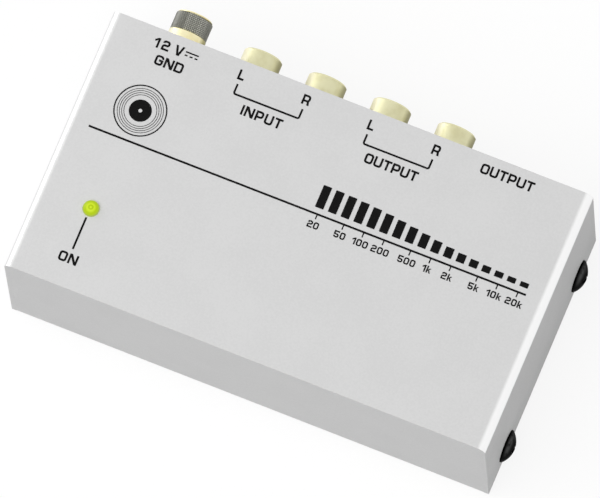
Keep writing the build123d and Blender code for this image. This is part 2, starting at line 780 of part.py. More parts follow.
def ring_at(start, length, outer, inner):
    """A ring or disc on the ground post's axis, from a distance behind the rear panel inwards."""
    with BuildSketch(behind(start)) as outline:
        with Locations((inlet_x, ground_z)):
            Circle(outer)
            if inner:
                Circle(inner, mode=Mode.SUBTRACT)
    extrude(outline.sketch, amount=length)


# Post: turned stud with a shoulder outside the panel and a thread each way
with BuildPart() as ground_post:
    ring_at(post_end, post_end, post_radius, 0)
    chamfer(ground_post.edges().group_by(Axis.Y)[-1], post_end_edge)
    ring_at(post_shoulder_length, post_shoulder_length, post_shoulder_radius, 0)
    ring_at(0, sheet, post_neck_radius, 0)
    ring_at(-sheet, post_inner_length, post_radius, 0)
    chamfer(ground_post.edges().group_by(Axis.Y)[0], post_end_edge)
save(ground_post, "ground_post")

# Washer: rides out with the thumb nut and clamps the lead against the shoulder
with BuildPart() as ground_washer:
    ring_at(washer_start + washer_length, washer_length, post_shoulder_radius, post_radius + washer_clearance)
save(ground_washer, "ground_washer")

# Thumb nut: a threaded core with a plain rim, in a knurled grip
with BuildPart() as ground_nut_core:
    ring_at(nut_end, nut_end - nut_start, nut_core_radius, post_radius + nut_clearance)
    ring_at(nut_end, nut_rim_length, nut_rim_radius, post_radius + nut_clearance)
    rim_edges = ground_nut_core.edges().group_by(Axis.Y)[-1]
    chamfer(rim_edges.sort_by(SortBy.RADIUS)[-1], nut_rim_length / 2)
save(ground_nut_core, "ground_nut_core")

with BuildPart() as ground_nut_grip:
    ring_at(nut_start + nut_grip_length, nut_grip_length, nut_grip_radius, nut_core_radius)
    grip_ends = ground_nut_grip.edges().filter_by(GeomType.CIRCLE).filter_by(
        lambda edge: edge.radius > nut_core_radius + knurl_depth
    )
    chamfer(grip_ends, nut_grip_edge)
    with BuildSketch(behind(nut_start + nut_grip_length)):
        with Locations((inlet_x, ground_z)):
            with PolarLocations(nut_grip_radius, knurl_count):
                RegularPolygon(knurl_depth, 4)
    extrude(amount=nut_grip_length, mode=Mode.SUBTRACT)
save(ground_nut_grip, "ground_nut_grip")

with BuildPart() as ground_lock_washer:
    ring_at(-sheet, inner_washer_length, inner_washer_radius, post_radius + washer_clearance)
save(ground_lock_washer, "ground_lock_washer")

# Solder tag: a ring with a tail that points to the case's side
with BuildPart() as ground_tag:
    with BuildSketch(behind(-tag_start)):
        with Locations((inlet_x, ground_z)):
            Circle(tag_radius)
        with Locations((inlet_x - tag_reach / 2, ground_z)):
            Rectangle(tag_reach, 2 * tag_tail_radius)
        with Locations((wire_x, ground_z)):
            Circle(tag_tail_radius)
        with Locations((inlet_x, ground_z)):
            Circle(post_radius + washer_clearance, mode=Mode.SUBTRACT)
    extrude(amount=tag_length)
save(ground_tag, "ground_tag")

with BuildPart() as ground_hex_nut:
    with BuildSketch(behind(-inner_nut_start)):
        with Locations((inlet_x, ground_z)):
            RegularPolygon(inner_nut_across / 2, 6, major_radius=False)
            Circle(post_radius + thread_clearance, mode=Mode.SUBTRACT)
    extrude(amount=inner_nut_length)
save(ground_hex_nut, "ground_hex_nut")

# Ground wire: from the tag straight in, then down through the board
with BuildPart() as ground_wire:
    with BuildLine() as wire_path:
        FilletPolyline(
            (wire_x, rear_y - inner_nut_start, ground_z),
            (wire_x, wire_y, ground_z),
            (wire_x, wire_y, leg_end),
            radius=wire_bend,
        )
    with BuildSketch(behind(-inner_nut_start)):
        with Locations((wire_x, ground_z)):
            Circle(wire_radius)
    sweep()
save(ground_wire, "ground_wire")

# ---------------------------------------------------------------- indicator lamp

with BuildPart() as lamp_lens:
    with BuildSketch(lathe_plane((lamp_x, lamp_y, lamp_bottom), (0, 0, 1))):
        with BuildLine():
            Polyline(
                (0, lamp_length),
                (0, 0),
                (lamp_flange_radius, 0),
                (lamp_flange_radius, lamp_flange),
                (lamp_radius, lamp_flange),
                (lamp_radius, lamp_length - lamp_radius),
            )
            RadiusArc((lamp_radius, lamp_length - lamp_radius), (0, lamp_length), -lamp_radius)
        make_face()
    revolve(axis=Axis((lamp_x, lamp_y, 0), (0, 0, 1)))
save(lamp_lens, "lamp_lens")

with BuildPart() as lamp_leads_piece:
    with BuildSketch(Plane.XY.offset(leg_end)):
        with Locations(*lamp_leads):
            Circle(lamp_lead_radius)
    extrude(amount=lamp_bottom - leg_end)
save(lamp_leads_piece, "lamp_leads")

with BuildPart() as lamp_spacer:
    with BuildSketch(Plane.XY.offset(board_top)):
        with Locations((lamp_x, lamp_y)):
            Circle(lamp_spacer_radius)
        with Locations(*lamp_leads):
            Circle(lamp_lead_radius + thread_clearance, mode=Mode.SUBTRACT)
    extrude(amount=lamp_bottom - board_top)
save(lamp_spacer, "lamp_spacer")

# ---------------------------------------------------------------- parts on the board


def straight_leads(spots, radius, top):
    """Round leads from a height down through the board."""
    with BuildPart() as leads:
        with BuildSketch(Plane.XY.offset(leg_end)):
            with Locations(*spots):
                Circle(radius)
        extrude(amount=top - leg_end)
    return leads


def radial_caps(spots, radius, height):
    """Electrolytic capacitors: cans with a rolled groove near the foot."""
    with BuildPart() as cans:
        for x, y in spots:
            with BuildSketch(lathe_plane((x, y, board_top), (0, 0, 1))):
                with BuildLine():
                    Polyline(
                        (0, 0),
                        (radius, 0),
                        (radius, can_groove_height - can_groove_half),
                        (radius - can_groove_depth, can_groove_height),
                        (radius, can_groove_height + can_groove_half),
                        (radius, height - can_edge),
                        (radius - can_edge, height),
                        (0, height),
                        close=True,
                    )
                make_face()
            revolve(axis=Axis((x, y, 0), (0, 0, 1)))
    return cans


def axial_bodies(spots, radius, length):
    """Resistor or diode bodies lying along X, just above the board."""
    with BuildPart() as bodies:
        for x, y in spots:
            with BuildSketch(Plane.YZ.offset(x - length / 2)):
                with Locations((y, board_top + radius)):
                    Circle(radius)
            extrude(amount=length)
        chamfer(bodies.edges(), axial_edge)
    return bodies


def axial_wires(spots, radius, length):
    """Leads from both ends of an axial body, bent down through the board."""
    with BuildPart() as wires:
        for x, y in spots:
            for side in (-1, 1):
                start = x + side * length / 2
                with BuildLine():
                    FilletPolyline(
                        (start, y, board_top + radius),
                        (x + side * axial_pitch / 2, y, board_top + radius),
                        (x + side * axial_pitch / 2, y, leg_end),
                        radius=2 * lead_radius,
                    )
                with BuildSketch(Plane(origin=(start, y, board_top + radius), z_dir=(side, 0, 0))):
                    Circle(lead_radius)
                sweep()
    return wires


save(radial_caps(on_board(filter_cap_spots), filter_cap_radius, filter_cap_height), "filter_capacitors")
save(straight_leads(filter_leads, lead_radius, board_top), "filter_capacitor_leads")
save(radial_caps(on_board(signal_cap_spots), signal_cap_radius, signal_cap_height), "signal_capacitors")
save(straight_leads(signal_leads, lead_radius, board_top), "signal_capacitor_leads")

with BuildPart() as film_capacitors:
    with Locations(*[(x, y, board_top) for x, y in on_board(film_cap_spots)]):
        Box(*film_cap_size, align=(Align.CENTER, Align.CENTER, Align.MIN))
    fillet(film_capacitors.edges().filter_by(Axis.Z), film_cap_edge)
save(film_capacitors, "film_capacitors")
save(straight_leads(film_leads, lead_radius, board_top), "film_capacitor_leads")

save(axial_bodies(on_board(resistor_spots), resistor_radius, resistor_length), "resistors")
save(axial_wires(on_board(resistor_spots), resistor_radius, resistor_length), "resistor_leads")
save(axial_bodies(on_board(diode_spots), diode_radius, diode_length), "polarity_diode")
save(axial_wires(on_board(diode_spots), diode_radius, diode_length), "polarity_diode_leads")

# Op-amps: eight-pin packages with a notch at one end
with BuildPart() as op_amps:
    with Locations(*[(x, y, board_top + chip_lift) for x, y in on_board(chip_spots)]):
        Box(chip_width, chip_length, chip_height, align=(Align.CENTER, Align.CENTER, Align.MIN))
    chamfer(op_amps.edges().filter_by(Axis.Y).group_by(Axis.Z)[-1], chip_edge)
    with BuildSketch(Plane.XY.offset(board_top + chip_lift + chip_height)):
        with Locations(*[(x, y + chip_length / 2) for x, y in on_board(chip_spots)]):
            Circle(chip_notch_radius)
    extrude(amount=-chip_notch_depth, mode=Mode.SUBTRACT)
save(op_amps, "op_amps")

# Their legs: out of the body's side and down through the board
chip_leg_z = board_top + chip_lift + chip_height / 2
with BuildPart() as op_amp_legs:
    for x, y in on_board(chip_spots):
        for side in (-1, 1):
            for n in range(4):
                leg_y = y + (n - 1.5) * chip_pitch
                outer_x = x + side * (chip_row + chip_leg_thickness) / 2
                inner_x = x + side * (chip_row - chip_leg_thickness) / 2
                with BuildSketch(Plane.XZ.offset(-leg_y - chip_leg_width / 2)):
                    with BuildLine():
                        Polyline(
                            (x + side * chip_width / 2, chip_leg_z),
                            (outer_x, chip_leg_z),
                            (outer_x, leg_end),
                            (inner_x, leg_end),
                            (inner_x, chip_leg_z - chip_leg_thickness),
                            (x + side * chip_width / 2, chip_leg_z - chip_leg_thickness),
                            close=True,
                        )
                    make_face()
                extrude(amount=chip_leg_width)
save(op_amp_legs, "op_amp_legs")

# Regulator: a moulded body on a tab that stands up as a heat sink
regulator_x, regulator_y = on_board(regulator_spots)[0]
regulator_z = board_top + regulator_lift
with BuildPart() as voltage_regulator:
    with Locations((regulator_x, regulator_y, regulator_z)):
        Box(
            regulator_width,
            regulator_depth,
            regulator_body_height,
            align=(Align.CENTER, Align.CENTER, Align.MIN),
        )
    chamfer(voltage_regulator.edges().group_by(Axis.Y)[0], regulator_edge)
save(voltage_regulator, "voltage_regulator")

with BuildPart() as regulator_heat_tab:
    with BuildSketch(Plane.XZ.offset(-regulator_y - regulator_depth / 2 - regulator_tab)):
        with Locations((regulator_x, regulator_z)):
            Rectangle(regulator_width, regulator_tab_height, align=(Align.CENTER, Align.MIN))
        with Locations((regulator_x, regulator_z + regulator_tab_height - regulator_hole_drop)):
            Circle(regulator_hole_radius, mode=Mode.SUBTRACT)
    extrude(amount=regulator_tab)
save(regulator_heat_tab, "regulator_heat_tab")
save(straight_leads(regulator_legs, lead_radius, regulator_z), "regulator_legs")
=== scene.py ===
"""Looks for a small phono preamp: a folded steel case with a row of sockets behind.

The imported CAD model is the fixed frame. This script dresses its nodes with
procedural finishes, builds the pieces that need finer modelling, and sets up a
plain studio. Sizes in the classes are in millimetres, in the frame's own axes:
X to the right, Y to the rear, Z up from the floor.
"""

import logging
import math
from collections.abc import Callable
from dataclasses import dataclass, field
from enum import Enum
from functools import partial

import bmesh
import bpy
from mathutils import Matrix, Vector

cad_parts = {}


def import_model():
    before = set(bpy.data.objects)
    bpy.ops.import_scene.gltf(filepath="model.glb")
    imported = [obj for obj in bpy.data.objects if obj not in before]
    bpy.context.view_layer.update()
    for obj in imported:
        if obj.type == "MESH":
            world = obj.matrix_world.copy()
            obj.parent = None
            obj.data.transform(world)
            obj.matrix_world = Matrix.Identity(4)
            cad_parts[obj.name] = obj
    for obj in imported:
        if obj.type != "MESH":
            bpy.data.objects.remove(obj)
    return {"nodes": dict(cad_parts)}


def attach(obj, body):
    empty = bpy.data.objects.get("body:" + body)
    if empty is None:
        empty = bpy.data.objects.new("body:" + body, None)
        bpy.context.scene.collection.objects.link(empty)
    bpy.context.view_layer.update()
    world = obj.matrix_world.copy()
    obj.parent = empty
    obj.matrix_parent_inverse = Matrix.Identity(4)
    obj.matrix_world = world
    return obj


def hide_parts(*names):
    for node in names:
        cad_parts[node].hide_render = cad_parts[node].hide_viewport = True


MM = 0.001
log = logging.getLogger("preamp")

Mesh = bmesh.types.BMesh
Colour = tuple[float, float, float, float]
Point = tuple[float, float]
Box = tuple[float, float, float, float]
Corner = tuple[float, ...]
Loop = tuple[Corner, ...]
Sockets = bpy.types.NodeOutputs
Socket = bpy.types.NodeSocket | float
Tone = bpy.types.NodeSocket | str
Adder = Callable[..., Sockets]

# Settings that many nodes share, and a Mix node's sockets: for colours, then for two plain numbers.
COLOURS = {"data_type": "RGBA"}
SOFT = {"interpolation_type": "SMOOTHSTEP"}
FACTOR, FIRST, SECOND, MIXED = 0, 6, 7, 2
FIRST_NUMBER, SECOND_NUMBER = 2, 3
BEVEL = {"offset_type": "OFFSET", "profile": 0.5, "material": -1}

# Sizes that a finish shares with its piece, and how near two points count as one.
TOP = 34.8
LAMP_AXIS: Point = (-40.64, -15.15)
LAMP_RADIUS = 1.73
NUT_AXIS: Point = (-37.9, 25.136)
NUT_VALLEY = 3.7
NEAR = 0.01
WELD = 0.001


class Body(Enum):
    """Bodies of the frame that pieces ride on."""

    CASE = "case"
    NUT = "thumb_nut"


class Turned(Enum):
    """Axis along which tool marks follow each other on a turned or drawn part."""

    X = "X"
    Y = "Y"
    Z = "Z"


# ---- Nodes and finishes ----


def linear(code: str) -> Colour:
    """Turn an sRGB hex value into linear colour.

    Args:
        code: Six hex digits, such as "D5D5D5".

    Returns:
        Red, green and blue from 0 to 1 in linear light, and full alpha.
    """
    parts = [int(code[i : i + 2], 16) / 255 for i in (0, 2, 4)]
    red, green, blue = (c / 12.92 if c <= 0.04045 else ((c + 0.055) / 1.055) ** 2.4 for c in parts)
    return red, green, blue, 1.0


def per(size: float) -> float:
    """Return the scale at which a noise's features have a size in millimetres."""
    return 1 / (size * MM)


def bands_per(size: float) -> float:
    """Return the scale that sets a Wave's bands, 0.314 apart at scale 1, a size in millimetres apart."""
    return 0.314 / (size * MM)


def add_node(tree: bpy.types.NodeTree, kind: str, inputs: dict, **settings: object) -> Sockets:
    """Add a node with its settings and its inputs.

    Args:
        tree: Node tree that gets the node.
        kind: Node type without its "ShaderNode" prefix.
        inputs: Sockets by name or number, each a number, a hex colour or a socket to link from.
        **settings: Attributes of the node.

    Returns:
        The node's outputs.
    """
    node = tree.nodes.new("ShaderNode" + kind)
    for name, value in settings.items():
        setattr(node, name, value)
    for key, value in inputs.items():
        if isinstance(value, bpy.types.NodeSocket):
            tree.links.new(value, node.inputs[key])
        else:
            node.inputs[key].default_value = linear(value) if isinstance(value, str) else value
    return node.outputs


def emptied(owner: bpy.types.Material | bpy.types.World) -> Adder:
    """Take all nodes out of a material or a world.

    Args:
        owner: The material or the world.

    Returns:
        What adds a node to it.
    """
    owner.use_nodes = True
    owner.node_tree.nodes.clear()
    return partial(add_node, owner.node_tree)


def overlap(add: Adder, *limits: dict) -> Socket:
    """Multiply soft ranges, so that the product is 1 only where all of them are.

    Args:
        add: Adds a node to the material.
        *limits: Inputs of one Map Range node each.

    Returns:
        The product.
    """
    product = 1.0
    for limit in limits:
        part = add("MapRange", limit, **SOFT)[0]
        product = add("Math", {0: part, 1: product}, operation="MULTIPLY")[0]
    return product


def change(add: Adder, value: Socket, limits: Point, tones: tuple[Tone, Tone]) -> tuple[Socket, Socket]:
    """Turn one colour softly into another while a value goes from one limit to the other.

    Args:
        add: Adds a node to the material.
        value: The value.
        limits: Where the change starts and where it is complete.
        tones: The two colours.

    Returns:
        The colour, and the second one's share of it.
    """
    part = add("MapRange", {"Value": value, "From Min": limits[0], "From Max": limits[1]}, **SOFT)[0]
    return add("Mix", {FACTOR: part, FIRST: tones[0], SECOND: tones[1]}, **COLOURS)[MIXED], part


def skin(add: Adder, here: Socket, grain: float, gloss: Point, relief: Point) -> dict:
    """Make a grained skin: the same grain changes the gloss and stands up a little.

    Args:
        add: Adds a node to the material.
        here: The point's coordinates.
        grain: Size of the grain in millimetres.
        gloss: Roughness in the grain's hollows and on its tops.
        relief: Height in millimetres and strength of the bumps.

    Returns:
        Inputs of the shader.
    """
    noise = add("TexNoise", {"Vector": here, "Scale": per(grain), "Detail": 2})[0]
    rough = {"Value": noise, "From Min": 0.3, "From Max": 0.7, "To Min": gloss[0], "To Max": gloss[1]}
    bump = {"Height": noise, "Distance": relief[0] * MM, "Strength": relief[1]}
    return {"Roughness": add("MapRange", rough, **SOFT)[0], "Normal": add("Bump", bump)[0]}


@dataclass(frozen=True)
class Finish:
    """A surface finish that makes its material once and hands it out."""

    name: str

    def material(self) -> bpy.types.Material:
        """Return the finish's material, made at the first call.

        Returns:
            The material.
        """
        made = bpy.data.materials.get(self.name)
        if made:
            return made
        made = bpy.data.materials.new(self.name)
        add = emptied(made)
        shader = add("BsdfPrincipled", self.shade(add, add("TexCoord", {})))
        add("OutputMaterial", {"Surface": shader[0]})
        return made

    def shade(self, add: Adder, place: Sockets) -> dict:
        """Make the pattern's nodes.

        Args:
            add: Adds a node to the material.
            place: Its texture coordinates.

        Returns:
            Inputs of the shader.
        """
        raise NotImplementedError


@dataclass(frozen=True)
class PowderCoat(Finish):
    """Silver-grey powder coat, baked on folded steel: an even satin skin with a fine pebble.

    A bright bare metallic band is painted over the two long folds as their highlight, paler on the right
    fold than on the left.
    """

    colour: str = "D3D3D3"
    speckle: str = "D7D7D7"
    # Colours of the painted highlight on the right fold and on the left fold.
    fold_highlight: str = "F7F7F7"
    left_fold_highlight: str = "E5E5E5"
    pebble: float = 0.45  # a real pebble is near 0.15 mm, which is too fine to show
    cloud: float = 9.0
    half_width: float = 52.5
    bend: float = 1.8
    fade_across: Point = (-0.1, 0.7)  # where the painted highlight band starts and is full, from where the bend starts
    fade_up: Point = (-0.05, 0.15)

    def shade(self, add: Adder, place: Sockets) -> dict:
        """Make a satin grey with a pebble, and a painted highlight as a bright bare band where the folds
        are.

        Args:
            add: Adds a node to the material.
            place: Its texture coordinates.

        Returns:
            Inputs of the shader.
        """
        here = place["Object"]
        pebble = add("TexNoise", {"Vector": here, "Scale": per(self.pebble), "Detail": 2})[0]
        cloud = add("TexNoise", {"Vector": here, "Scale": per(self.cloud), "Detail": 1})[0]
        grain = add("Mix", {FACTOR: 0.35, FIRST_NUMBER: pebble, SECOND_NUMBER: cloud})[0]
        coat = change(add, grain, (0.35, 0.65), (self.colour, self.speckle))[0]
        # The painted highlight band lies on the outer skin alone: the sheet's cut ends face the front and
        # the rear.
        axes = add("SeparateXYZ", {0: here})
        side = add("Math", {0: axes["X"]}, operation="ABSOLUTE")[0]
        start, full_and_highlight = [(self.half_width - self.bend + shift) * MM for shift in self.fade_across]
        across = {"Value": side, "From Min": start, "From Max": full_and_highlight}
        start, full_and_highlight = [(TOP - self.bend + shift) * MM for shift in self.fade_up]
        up = {"Value": axes["Z"], "From Min": start, "From Max": full_and_highlight}
        ahead = add("SeparateXYZ", {0: place["Normal"]})["Y"]
        cut = add("Math", {0: ahead}, operation="ABSOLUTE")[0]
        highlight_band = overlap(add, across, up, {"Value": cut, "From Min": 0.8, "From Max": 0.3})
        right = add("Math", {0: axes["X"], 1: 0.0}, operation="GREATER_THAN")[0]
        fold_highlights = {FACTOR: right, FIRST: self.left_fold_highlight, SECOND: self.fold_highlight}
        highlighted_coat = {FACTOR: highlight_band, FIRST: coat, SECOND: add("Mix", fold_highlights, **COLOURS)[MIXED]}
        return {
            "Base Color": add("Mix", highlighted_coat, **COLOURS)[MIXED],
            "Metallic": highlight_band,
            "Roughness": add("MapRange", {"Value": highlight_band, "To Min": 0.52, "To Max": 0.35})[0],
            "Normal": add("Bump", {"Height": pebble, "Distance": 0.012 * MM, "Strength": 0.5})[0],
            "Specular IOR Level": 0.12,
        }


@dataclass(frozen=True)
class Moulding(Finish):
    """Injection-moulded plastic with a spark-eroded skin: a fine even sand that breaks up the gloss."""

    colour: str = "1C1C1D"
    lighter: str = "242425"
    sand: float = 0.4
    roughness: float = 0.5

    def shade(self, add: Adder, place: Sockets) -> dict:
        """Make an even colour with a slight flow cloud, under a sanded skin.

        Args:
            add: Adds a node to the material.
            place: Its texture coordinates.

        Returns:
            Inputs of the shader.
        """
        here = place["Object"]
        flow = add("TexNoise", {"Vector": here, "Scale": per(6.0), "Detail": 1})[0]
        colour = change(add, flow, (0.3, 0.7), (self.colour, self.lighter))[0]
        gloss = (self.roughness - 0.06, self.roughness + 0.08)
        coat = skin(add, here, self.sand, gloss, relief=(0.01, 0.6))
        return coat | {"Base Color": colour, "IOR": 1.53}


@dataclass(frozen=True)
class Plate(Finish):
    """Plated metal over a turned, drawn or pressed part: the tool's marks show through the plating."""

    colour: str
    dull: str
    roughness: float
    marks: float
    axis: Turned = Turned.Y
    depth: float = 0.004

    def shade(self, add: Adder, place: Sockets) -> dict:
        """Make a bright plate with fine marks along one axis and a thin uneven tarnish.

        Args:
            add: Adds a node to the material.
            place: Its texture coordinates.

        Returns:
            Inputs of the shader.
        """
        here = place["Object"]
        lines = {"Vector": here, "Scale": bands_per(self.marks), "Distortion": 0.6, "Detail": 1.0}
        marks = add("TexWave", lines, bands_direction=self.axis.value)["Fac"]
        tarnish = add("TexNoise", {"Vector": here, "Scale": per(2.6), "Detail": 3})[0]
        colour, patch = change(add, tarnish, (0.4, 0.75), (self.colour, self.dull))
        rough = {"Value": patch, "To Min": self.roughness, "To Max": self.roughness + 0.1}
        return {
            "Base Color": colour,
            "Metallic": 1.0,
            "Roughness": add("MapRange", rough)[0],
            "Normal": add("Bump", {"Height": marks, "Distance": self.depth * MM, "Strength": 0.35})[0],
        }


@dataclass(frozen=True)
class PaintedLightPlate(Plate):
    """Gold plate with painted light: a pale painted highlight on the side that faces left, a brown painted
    shade on the side that faces right.
    """

    # Colour of the painted highlight, and over which normals it fades in.
    full_and_highlight: str = "F3EFD4"
    highlight_facing: Point = (-0.48, -0.72)
    # Colour of the painted shade, and over which normals it fades in.
    starved_and_shade: str = "A09C78"
    shade_facing: Point = (0.72, 1.0)

    def shade(self, add: Adder, place: Sockets) -> dict:
        """Make the plate, and paint a highlight on the side that faces left and shade on the side that
        faces right.

        Args:
            add: Adds a node to the material.
            place: Its texture coordinates.

        Returns:
            Inputs of the shader.
        """
        sockets = super().shade(add, place)
        side = add("SeparateXYZ", {0: place["Normal"]})["X"]
        colour = sockets["Base Color"]
        for limits, tone in ((self.highlight_facing, self.full_and_highlight), (self.shade_facing, self.starved_and_shade)):
            colour = change(add, side, limits, (colour, tone))[0]
        return sockets | {"Base Color": colour}


@dataclass(frozen=True)
class KnurledNickel(Finish):
    """Nickel over a diamond knurl: rubbed crests, valleys dark with oxide, streaks along the grip, painted
    shade on both flanks.
    """

    crest: float = 3.9
    metal: str = "F2F2EC"
    oxide: str = "9E9E98"
    shade_streak: str = "B6B6B0"
    streak: float = 2.2
    # Colour of the painted shade on the flanks, and where it starts and is full.
    flank_shade: str = "96968F"
    shaded_flanks: tuple[Point, ...] = ((0.55, 1.0), (-0.75, -1.0))  # in shares of the radius

    def shade(self, add: Adder, place: Sockets) -> dict:
        """Make the colour follow a point's distance from the nut's axis, with streaks along it and painted
        shade on its flanks.

        Args:
            add: Adds a node to the material.
            place: Its texture coordinates.

        Returns:
            Inputs of the shader.
        """
        flat = {"Location": (-NUT_AXIS[0] * MM, 0, -NUT_AXIS[1] * MM), "Scale": (1, 0, 1)}
        spoke = add("Mapping", {"Vector": place["Object"], **flat})[0]
        radius = add("VectorMath", {0: spoke}, operation="LENGTH")["Value"]
        rise = {"Value": radius, "From Min": NUT_VALLEY * MM, "From Max": self.crest * MM}
        height = add("MapRange", rise)[0]
        ahead = add("SeparateXYZ", {0: place["Normal"]})["Y"]
        face = add("Math", {0: ahead}, operation="ABSOLUTE")[0]
        end = add("MapRange", {"Value": face, "From Min": 0.6, "From Max": 0.9}, **SOFT)[0]
        rubbed = add("Math", {0: height, 1: end}, operation="MAXIMUM")[0]
        noise = add("TexNoise", {"Vector": spoke, "Scale": per(self.streak), "Detail": 1})[0]
        crests = change(add, noise, (0.42, 0.6), (self.metal, self.shade_streak))[0]
        grip = add("Mix", {FACTOR: rubbed, FIRST: self.oxide, SECOND: crests}, **COLOURS)[MIXED]
        # Painted shade darkens the two flanks, the right one more than the left.
        across = add("SeparateXYZ", {0: spoke})["X"]
        reach = self.crest * MM
        for start, end in self.shaded_flanks:
            grip = change(add, across, (start * reach, end * reach), (grip, self.flank_shade))[0]
        return {
            "Base Color": grip,
            "Metallic": 1.0,
            "Roughness": add("MapRange", {"Value": rubbed, "To Min": 0.6, "To Max": 0.36})[0],
        }


@dataclass(frozen=True)
class BlackZinc(Finish):
    """Black-passivated zinc on cold-headed screws: deep black, with a painted grey highlight half way up
    the domes, where they face up.
    """

    colour: str = "010101"
    paler: str = "030303"
    # Colour of the painted highlight on the domes.
    dome_highlight: str = "6A6A6A"
    base: float = 52.8
    crown: float = 54.15
    shine: float = 0.01

    def shade(self, add: Adder, place: Sockets) -> dict:
        """Make a near black with a ragged painted highlight half way up a dome, where it faces up.

        Args:
            add: Adds a node to the material.
            place: Its texture coordinates.

        Returns:
            Inputs of the shader.
        """
        here = place["Object"]
        across = add("SeparateXYZ", {0: here})["X"]
        out = add("Math", {0: across}, operation="ABSOLUTE")[0]
        low, high, middle = self.base * MM, self.crown * MM, (self.base + self.crown) / 2 * MM
        rise = {"Value": out, "From Min": low, "From Max": middle}
        fall = {"Value": out, "From Min": high, "From Max": middle}
        upward = add("SeparateXYZ", {0: place["Normal"]})["Z"]
        lies = {"Value": upward, "From Min": 0.2, "From Max": 0.8}
        ragged = add("TexNoise", {"Vector": here, "Scale": per(0.9), "Detail": 3})[0]
        patch = {"Value": ragged, "From Min": 0.15, "From Max": 0.55}
        # The painted highlight: half way up a dome, where it faces up, with ragged edges.
        dome_highlight_mask = overlap(add, rise, fall, lies, patch)
        pits = add("TexNoise", {"Vector": here, "Scale": per(0.3), "Detail": 2})[0]
        black = add("Mix", {FACTOR: pits, FIRST: self.colour, SECOND: self.paler}, **COLOURS)[MIXED]
        return {
            "Base Color": add("Mix", {FACTOR: dome_highlight_mask, FIRST: black, SECOND: self.dome_highlight}, **COLOURS)[MIXED],
            "Roughness": add("MapRange", {"Value": dome_highlight_mask, "To Min": 0.4, "To Max": 0.5})[0],
            "Normal": add("Bump", {"Height": pits, "Distance": 0.006 * MM, "Strength": 0.4})[0],
            "Specular IOR Level": self.shine,
        }


@dataclass(frozen=True)
class FootRubber(Finish):
    """Moulded rubber: matt, dark, with a bloom of paler dust in its pores."""

    colour: str = "191919"
    bloom: str = "2B2A29"

    def shade(self, add: Adder, place: Sockets) -> dict:
        """Make a matt black with a pale bloom and a soft sheen.

        Args:
            add: Adds a node to the material.
            place: Its texture coordinates.

        Returns:
            Inputs of the shader.
        """
        here = place["Object"]
        pores = add("TexNoise", {"Vector": here, "Scale": per(0.5), "Detail": 3})[0]
        return {
            "Base Color": change(add, pores, (0.4, 0.7), (self.colour, self.bloom))[0],
            "Normal": add("Bump", {"Height": pores, "Distance": 0.03 * MM, "Strength": 0.6})[0],
            "Roughness": 0.85,
            "Sheen Weight": 0.1,
        }


@dataclass(frozen=True)
class LitEpoxy(Finish):
    """Tinted, diffusing epoxy around a lit chip, whose cup shows as rings."""

    cup: float = 0.8
    core: Point = (0.3, 0.8)  # in shares of the radius
    skirt: float = 0.82
    bulk: Colour = (0.2, 0.2, 0.2, 1.0)
    heart: str = "DCF52E"
    glow: str = "B9D40C"
    rim: str = "B0C058"

    def shade(self, add: Adder, place: Sockets) -> dict:
        """Make rings of colour about the lamp's axis, cloudy with filler and lit from within.

        Args:
            add: Adds a node to the material.
            place: Its texture coordinates.

        Returns:
            Inputs of the shader.
        """
        here = place["Object"]
        flat = {"Location": (-LAMP_AXIS[0] * MM, -LAMP_AXIS[1] * MM, 0), "Scale": (1, 1, 0)}
        spoke = add("Mapping", {"Vector": here, **flat})[0]
        length = add("VectorMath", {0: spoke}, operation="LENGTH")["Value"]
        filler = add("TexNoise", {"Vector": here, "Scale": per(0.9), "Detail": 1})[0]
        cup = {"Vector": spoke, "Scale": bands_per(self.cup), "Phase Offset": math.pi}
        ripple = add("TexWave", cup, wave_type="RINGS", rings_direction="Z")["Fac"]
        start, end = [share * LAMP_RADIUS * MM for share in self.core]
        far = add("MapRange", {"Value": length, "From Min": start, "From Max": end}, **SOFT)[0]
        bands = add("Math", {0: filler, 1: 0.5, 2: ripple}, operation="MULTIPLY_ADD")[0]
        dark = add("MapRange", {"Value": bands, "From Min": 1.1, "From Max": 0.2}, **SOFT)[0]
        dim = add("Math", {0: far, 1: dark}, operation="MAXIMUM")[0]
        glow = add("Mix", {FACTOR: dim, FIRST: self.heart, SECOND: self.glow}, **COLOURS)[MIXED]
        skirt = (self.skirt * LAMP_RADIUS * MM, LAMP_RADIUS * MM)
        tint = change(add, length, skirt, (glow, self.rim))[0]
        body = {FACTOR: 1.0, FIRST: tint, SECOND: self.bulk}
        return {
            "Base Color": add("Mix", body, **COLOURS, blend_type="MULTIPLY")[MIXED],
            "Emission Color": tint,
            "Emission Strength": 0.72,
            "Roughness": 0.3,
            "IOR": 1.53,
            "Specular IOR Level": 0.2,
        }


@dataclass(frozen=True)
class ScreenInk(Finish):
    """Screen-printed ink, baked: almost black, flat, a little starved between the mesh's threads."""

    colour: str = "0B0B0B"
    starved: str = "161616"
    thread: float = 0.25  # the mesh is near 0.1 mm, which is too fine to show

    def shade(self, add: Adder, place: Sockets) -> dict:
        """Make a flat black with a faint mesh grain.

        Args:
            add: Adds a node to the material.
            place: Its texture coordinates.

        Returns:
            Inputs of the shader.
        """
        here = place["Object"]
        mesh = add("TexNoise", {"Vector": here, "Scale": per(self.thread), "Detail": 2})[0]
        colour, starved_and_shade = change(add, mesh, (0.45, 0.75), (self.colour, self.starved))
        return {
            "Base Color": colour,
            "Roughness": add("MapRange", {"Value": starved_and_shade, "To Min": 0.55, "To Max": 0.7})[0],
            "Specular IOR Level": 0.08,
        }


